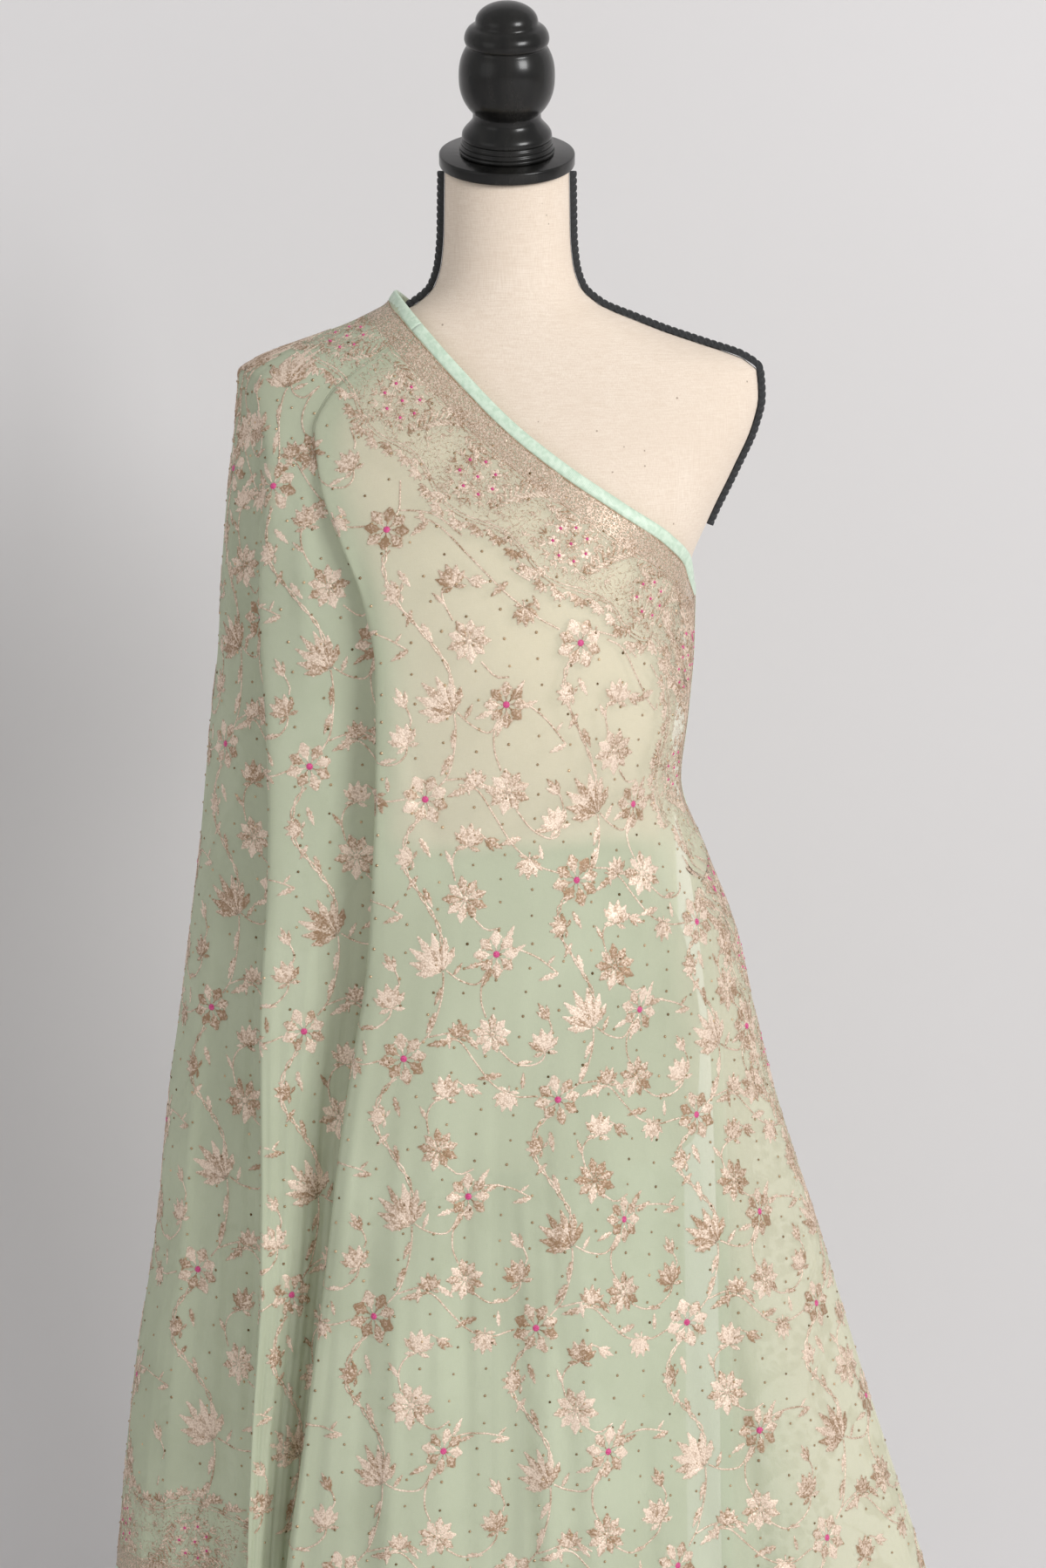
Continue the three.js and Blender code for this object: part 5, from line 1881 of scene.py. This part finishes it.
def lay_braid(node, side, material):
    """Gimp braid: a low arched band with chevrons of raised cord, laid down one side seam."""
    z = torso_heights(1.1)
    z = z[(z >= BRAID_LOWER_END) & (z <= NECK_TOP - 4)]
    line = torso_rings(z, 4)[:, 0 if side > 0 else 2]
    along = unit(np.gradient(line, axis=0))
    across = np.array([0.0, 1.0, 0.0])
    out = unit(np.cross(across[None], along))
    out = out * np.sign(out[:, :1] * side)
    length = length_along(line)
    even = np.arange(0, length[-1], BRAID_STEP)
    line = at_lengths(even, length, line)
    out = unit(at_lengths(even, length, out))
    shape = np.linspace(-1, 1, 13)
    chevron = np.abs(np.sin(np.pi * (even[:, None] / BRAID_STITCH + np.abs(shape)[None] * 0.9)))
    arch = BRAID_ARCH * (1 - np.abs(shape) ** 3.5)[None]
    arch = arch + BRAID_CHEVRON * chevron * (1 - np.abs(shape)[None] ** 6)
    reach = BRAID_HALF_WIDTH * shape[None] * (1 + 0.1 * np.sin(2 * np.pi * even / BRAID_STITCH)[:, None])

    def skin(reach, lift):
        return line[:, None] + across * reach[..., None] * side + out[:, None] * lift[..., None]

    upper, lower = skin(reach, SEAM + BRAID_LIFT + arch), skin(reach[:, ::-1], SEAM + 0 * arch)
    points, faces = tube(np.concatenate([upper, lower], 1))
    piece = show(node.replace("braid", "gimp_braid"), points, faces, material, "gimp")
    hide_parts(node)
    return piece


# Neck cap above its disc, from the floor of the cap up.
FINIAL_STEPS = (
    (0, 0), (34.8, 0), (35.4, 0.4), (35.6, 1.2), (35.6, 2.6), (35.1, 3.1), (35.4, 3.6), (35.4, 5.2),
    (34.9, 6.1), (34.1, 6.5), (34.4, 7.2), (34.3, 9.4), (33.9, 10.3), (33.0, 10.8), (33.3, 11.4),
    (33.7, 12.3), (33.6, 13.6),
)
FINIAL_WAIST = (25.4, 27.3)
FINIAL_BALL = {"radius": 35.7, "centre": 58.5, "low": 31.0, "high": 81.5, "reach": 33.5}
FINIAL_BEAD = (
    (29.5, 82.4), (30.6, 83.4), (31.2, 85), (31.5, 86.6), (31.4, 88), (31.0, 90.2), (30.2, 92),
    (28.8, 94.2), (27, 95.6), (25.6, 96.4), (24.4, 97), (23.7, 97.8), (23.4, 98.6),
)
FINIAL_DOME = (23.2, 99.6, 14.5)
DISC_RADIUS = 50.8
DISC_HEIGHT = 9.5
DISC_EDGE = 1.2


def finial_profile():
    """Steps, cove, ball, bead and dome of the neck cap, as radius and height."""
    t = np.linspace(0, 1, 14)[1:]
    foot_radius, foot_height = FINIAL_STEPS[-1]
    narrowed = lerp(foot_radius, FINIAL_WAIST[0], (1 - np.cos(t * np.pi)) / 2)
    cove = np.stack([narrowed, lerp(foot_height, FINIAL_WAIST[1], t)], 1)
    height = np.linspace(FINIAL_BALL["low"], FINIAL_BALL["high"], 34)
    rise = np.abs(height - FINIAL_BALL["centre"]) / FINIAL_BALL["reach"]
    ball = np.stack([FINIAL_BALL["radius"] * (1 - rise**2.4) ** 0.42 + 5 * rise**6, height], 1)
    radius, low, tall = FINIAL_DOME
    angle = np.linspace(0, np.pi / 2, 16)
    top = np.stack([radius * np.cos(angle), low + tall * np.sin(angle)], 1)
    return np.concatenate([FINIAL_STEPS, cove, ball, FINIAL_BEAD, top])


def on_neck(rings, floor):
    """Rings raised to a floor over the neck's top and leaned with it."""
    c, s = math.cos(NECK_LEAN), math.sin(NECK_LEAN)
    x, y, z = rings[..., 0], rings[..., 1], rings[..., 2] + floor
    return np.stack([x, NECK_SEAM + y * c - z * s, NECK_TOP + y * s + z * c], -1)


BASE_PROFILE = (
    (0, 0), (173.5, 0), (175, 1.5), (175, 8.2), (174, 10), (171.5, 12.4), (168, 13.4), (161, 15),
    (158, 16.5), (154.5, 20), (151, 22.4), (145, 24), (0, 24),
)
POLE_PROFILE = (
    (0, 24.3), (26, 24.3), (26, 31), (24, 34.5), (19.5, 46), (17, 54.3), (13.6, 58), (13, 60.3),
    (13, 739), (13.6, 741), (25, 753), (26, 755.7), (26, 769.7), (0, 769.7),
)

# ---- studio ----

CAMERA_PLACE = (0.012, -3.0, 1.560)
CAMERA_PITCH = math.radians(9.592)
CAMERA_LENS = 90.64
SENSOR = 36.0
WALL_PLACE = 0.62
SEEN_THROUGH = 14
WALL_HALF_WIDTH = 3.0
WALL_HEIGHT = 3.4
FLOOR_HALF_WIDTH = 12.0
LIGHT_TARGET = (0.0, 0.0, 1.1)
KEY_PLACE = (3.6, -4.2, 3.2)
KEY_SIZE = (1.9, 1.9)
FILL_PLACE = (-2.6, -2.4, 1.8)
FILL_SIZE = (2.0, 2.0)


def add_light(name, place, target, size, watts):
    """Soft square light aimed at a point."""
    data = bpy.data.lights.new(name, "AREA")
    data.shape = "RECTANGLE"
    data.size, data.size_y = size
    data.energy = watts
    light = bpy.data.objects.new(name, data)
    bpy.context.scene.collection.objects.link(light)
    direction = np.array(target, float) - np.array(place, float)
    light.location = place
    tilt = math.atan2(math.hypot(direction[0], direction[1]), -direction[2])
    light.rotation_euler = (tilt, 0.0, math.atan2(direction[1], direction[0]) - math.pi / 2)


# ---- operators ----


def material(name, maker, sizes):
    """The named finish, made once."""
    return bpy.data.materials.get(name) or maker(sizes)


class LayCloth(bpy.types.Operator):
    """Lays the georgette: the front, the pleats, the back and the layer that turns back"""

    bl_idname = "saree.lay_cloth"
    bl_label = "Lay the georgette"

    def execute(self, context):
        cloth = context.scene.saree_cloth
        finish = material("crepe_georgette", georgette_finish, cloth)
        for name in STRETCHES:
            lay_stretch(name, finish, cloth.thickness)
        return {"FINISHED"}


class SewBindings(bpy.types.Operator):
    """Folds satin bindings over every edge of the cloth"""

    bl_idname = "saree.sew_bindings"
    bl_label = "Sew the bindings"

    def execute(self, context):
        cloth = context.scene.saree_cloth
        finish = material("satin_ribbon", satin_finish, cloth)
        for node, line in binding_lines().items():
            lay_binding(node, line, finish, cloth.binding_width)
        return {"FINISHED"}


class EmbroiderField(bpy.types.Operator):
    """Works the flowering vine over the field of the cloth"""

    bl_idname = "saree.embroider_field"
    bl_label = "Embroider the field"

    def execute(self, context):
        sizes = context.scene.saree_embroidery
        thread = material("zari_thread", thread_finish, sizes)
        pink = material("pink_thread", pink_finish, sizes)
        rng = np.random.default_rng(GEOMETRY_SEED)
        for name in STRETCHES:
            threads, knots = jaal_parts(name, sizes, rng)
            points, faces, shades = threads
            show(f"{name}_vine", points, faces, thread, "georgette", shades)
            if knots is not None:
                show(f"{name}_pink_knots", *knots[:2], pink, "georgette")
        return {"FINISHED"}


class EmbroiderBorder(bpy.types.Operator):
    """Works the border along the cloth's edges"""

    bl_idname = "saree.embroider_border"
    bl_label = "Embroider the border"

    def execute(self, context):
        sizes = context.scene.saree_embroidery
        thread = material("zari_thread", thread_finish, sizes)
        pink = material("pink_thread", pink_finish, sizes)
        net = material("thread_net", net_finish, sizes)
        filigree = material("thread_filigree", filigree_finish, sizes)
        rng = np.random.default_rng(GEOMETRY_SEED + 1)
        for name, (_, line) in BORDER_EDGES.items():
            threads, knots, net_strip, fine_strip = border_parts(line, sizes, rng)
            show(f"border_{name}", *threads[:2], thread, "georgette", threads[2])
            show(f"border_knots_{name}", *knots[:2], pink, "georgette")
            show(f"border_net_{name}", *net_strip[:2], net, "georgette", uv=net_strip[2])
            show(f"border_filigree_{name}", *fine_strip[:2], filigree, "georgette", uv=fine_strip[2])
        return {"FINISHED"}


class SetDots(bpy.types.Operator):
    """Sets small metal dots over the cloth"""

    bl_idname = "saree.set_dots"
    bl_label = "Set the metal dots"

    def execute(self, context):
        sizes = context.scene.saree_embroidery
        finish = material("metal_dots", dot_finish, sizes)
        rng = np.random.default_rng(GEOMETRY_SEED + 2)
        for name in STRETCHES:
            points, faces, shades = dot_parts(name, sizes, rng)
            show(f"{name}_dots", points, faces, finish, "georgette", shades)
        return {"FINISHED"}


class CoverForm(bpy.types.Operator):
    """Covers the dress form in linen and lays its braids"""

    bl_idname = "saree.cover_form"
    bl_label = "Cover the dress form"

    def execute(self, context):
        sizes = context.scene.saree_form
        linen = material("natural_linen", linen_finish, sizes)
        gimp = material("gimp_braid", gimp_finish, sizes)
        points, faces = tube(torso_rings(torso_heights(7.0), 120))
        torso = show("linen_torso", points, faces, linen, "linen")
        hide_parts("torso")
        lay_braid("braid_left", -1, gimp)
        lay_braid("braid_right", 1, gimp)
        return {"FINISHED"}


class TurnStand(bpy.types.Operator):
    """Turns the neck cap, the pole and the base in black wood"""

    bl_idname = "saree.turn_stand"
    bl_label = "Turn the stand"

    def execute(self, context):
        sizes = context.scene.saree_form
        wood = material("lacquered_wood", black_wood_finish, sizes)
        disc = (
            (0, 0), (DISC_RADIUS - DISC_EDGE, 0), (DISC_RADIUS - 0.3, 0.4), (DISC_RADIUS, DISC_EDGE),
            (DISC_RADIUS, DISC_HEIGHT - SEAM - DISC_EDGE), (DISC_RADIUS - 0.3, DISC_HEIGHT - SEAM - 0.4),
            (DISC_RADIUS - DISC_EDGE, DISC_HEIGHT - SEAM), (0, DISC_HEIGHT - SEAM),
        )
        turnings = {
            "neck_disc": on_neck(turned(disc), SEAM),
            "neck_finial": on_neck(turned(finial_profile()), DISC_HEIGHT + SEAM),
            "stand_pole": turned(POLE_PROFILE, 64),
            "base_disc": turned(BASE_PROFILE, 128),
        }
        for node, rings in turnings.items():
            points, faces = tube(rings)
            piece = show(f"wood_{node}", points, faces, wood, "black_wood")
            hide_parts(node)
        return {"FINISHED"}


class BuildStudio(bpy.types.Operator):
    """Builds the floor, the wall, the lights and the camera"""

    bl_idname = "saree.build_studio"
    bl_label = "Build the studio"

    def execute(self, context):
        scene = context.scene
        sizes = scene.saree_studio
        x, y, z = WALL_HALF_WIDTH, WALL_PLACE, WALL_HEIGHT
        wall = [(-x, y, 0), (x, y, 0), (x, y, z), (-x, y, z)]
        x = FLOOR_HALF_WIDTH
        floor = [(-x, -x, 0), (x, -x, 0), (x, x, 0), (-x, x, 0)]
        for name, corners, maker in (
            ("studio_wall", wall, wall_finish),
            ("studio_floor", floor, floor_finish),
        ):
            mesh = bpy.data.meshes.new(name)
            mesh.from_pydata(corners, [], [(0, 1, 2, 3)])
            mesh.materials.append(material(name, maker, sizes))
            flat = bpy.data.objects.new(name, mesh)
            scene.collection.objects.link(flat)

        world = bpy.data.worlds.new("studio_light")
        world.use_nodes = True
        back = world.node_tree.nodes["Background"]
        back.inputs["Color"].default_value = (1.0, 1.0, 1.0, 1.0)
        back.inputs["Strength"].default_value = sizes.sky
        scene.world = world
        add_light("key_light", KEY_PLACE, LIGHT_TARGET, KEY_SIZE, sizes.key)
        add_light("fill_light", FILL_PLACE, LIGHT_TARGET, FILL_SIZE, sizes.fill)

        data = bpy.data.cameras.new("studio_camera")
        data.sensor_width = SENSOR
        data.lens = CAMERA_LENS
        data.clip_end = 100
        camera = bpy.data.objects.new("studio_camera", data)
        camera.location = CAMERA_PLACE
        camera.rotation_euler = (math.pi / 2 - CAMERA_PITCH, 0, 0)
        scene.collection.objects.link(camera)
        scene.camera = camera
        scene.view_settings.view_transform = "Standard"
        scene.cycles.transparent_max_bounces = SEEN_THROUGH
        return {"FINISHED"}


OPERATORS = (
    LayCloth,
    SewBindings,
    EmbroiderField,
    EmbroiderBorder,
    SetDots,
    CoverForm,
    TurnStand,
    BuildStudio,
)


class SareePanel(bpy.types.Panel):
    """Lists the steps of the saree"""

    bl_idname = "VIEW3D_PT_saree"
    bl_label = "Saree"
    bl_space_type = "VIEW_3D"
    bl_region_type = "UI"
    bl_category = "Saree"

    def draw(self, context):
        for operator in OPERATORS:
            self.layout.operator(operator.bl_idname)


GROUPS = {
    "saree_cloth": ClothSizes,
    "saree_embroidery": EmbroiderySizes,
    "saree_form": FormSizes,
    "saree_studio": StudioSizes,
}
CLASSES = (*GROUPS.values(), *OPERATORS, SareePanel)

# Flat cut of each stretch that shows, in metres: width across, length down and area.
CUTS = {
    "front": (0.70, 1.12, 0.52),
    "pleat": (0.40, 1.10, 0.235),
    "back": (0.62, 1.05, 0.47),
    "return": (0.20, 0.92, 0.105),
}


def declare_sheets():
    """Gathers each stretch's flat size and the pieces sewn on it, and passes them nowhere."""
    sewn = {
        "front": ["satin_front_top", "satin_underarm", "satin_hem_front"],
        "pleat": ["satin_shoulder_front", "satin_hem_pleat"],
        "back": ["satin_back_top", "satin_hem_back"],
        "return": ["satin_return_edge", "satin_hem_return"],
    }
    for name, (width, length, area) in CUTS.items():
        extras = [bpy.data.objects[n] for n in sewn[name]]
        worked = [f"{name}_{part}" for part in ("vine", "pink_knots", "dots")]
        extras += [piece for piece in bpy.data.objects if piece.name in worked]
        for edge, (owner, _) in BORDER_EDGES.items():
            if owner == name:
                parts = ("border", "border_knots", "border_net", "border_filigree")
                extras += [bpy.data.objects[f"{part}_{edge}"] for part in parts]


def register():
    """Adds the classes and the groups of sizes."""
    for cls in CLASSES:
        bpy.utils.register_class(cls)
    for name, group in GROUPS.items():
        setattr(bpy.types.Scene, name, bpy.props.PointerProperty(type=group))


def unregister():
    """Takes the groups of sizes and the classes away."""
    for name in GROUPS:
        delattr(bpy.types.Scene, name)
    for cls in reversed(CLASSES):
        bpy.utils.unregister_class(cls)


def main():
    """Builds every piece in order."""
    register()
    bpy.ops.saree.lay_cloth()
    bpy.ops.saree.sew_bindings()
    bpy.ops.saree.embroider_field()
    bpy.ops.saree.embroider_border()
    bpy.ops.saree.set_dots()
    bpy.ops.saree.cover_form()
    bpy.ops.saree.turn_stand()
    bpy.ops.saree.build_studio()
    declare_sheets()


if __name__ == "__main__":
    main()
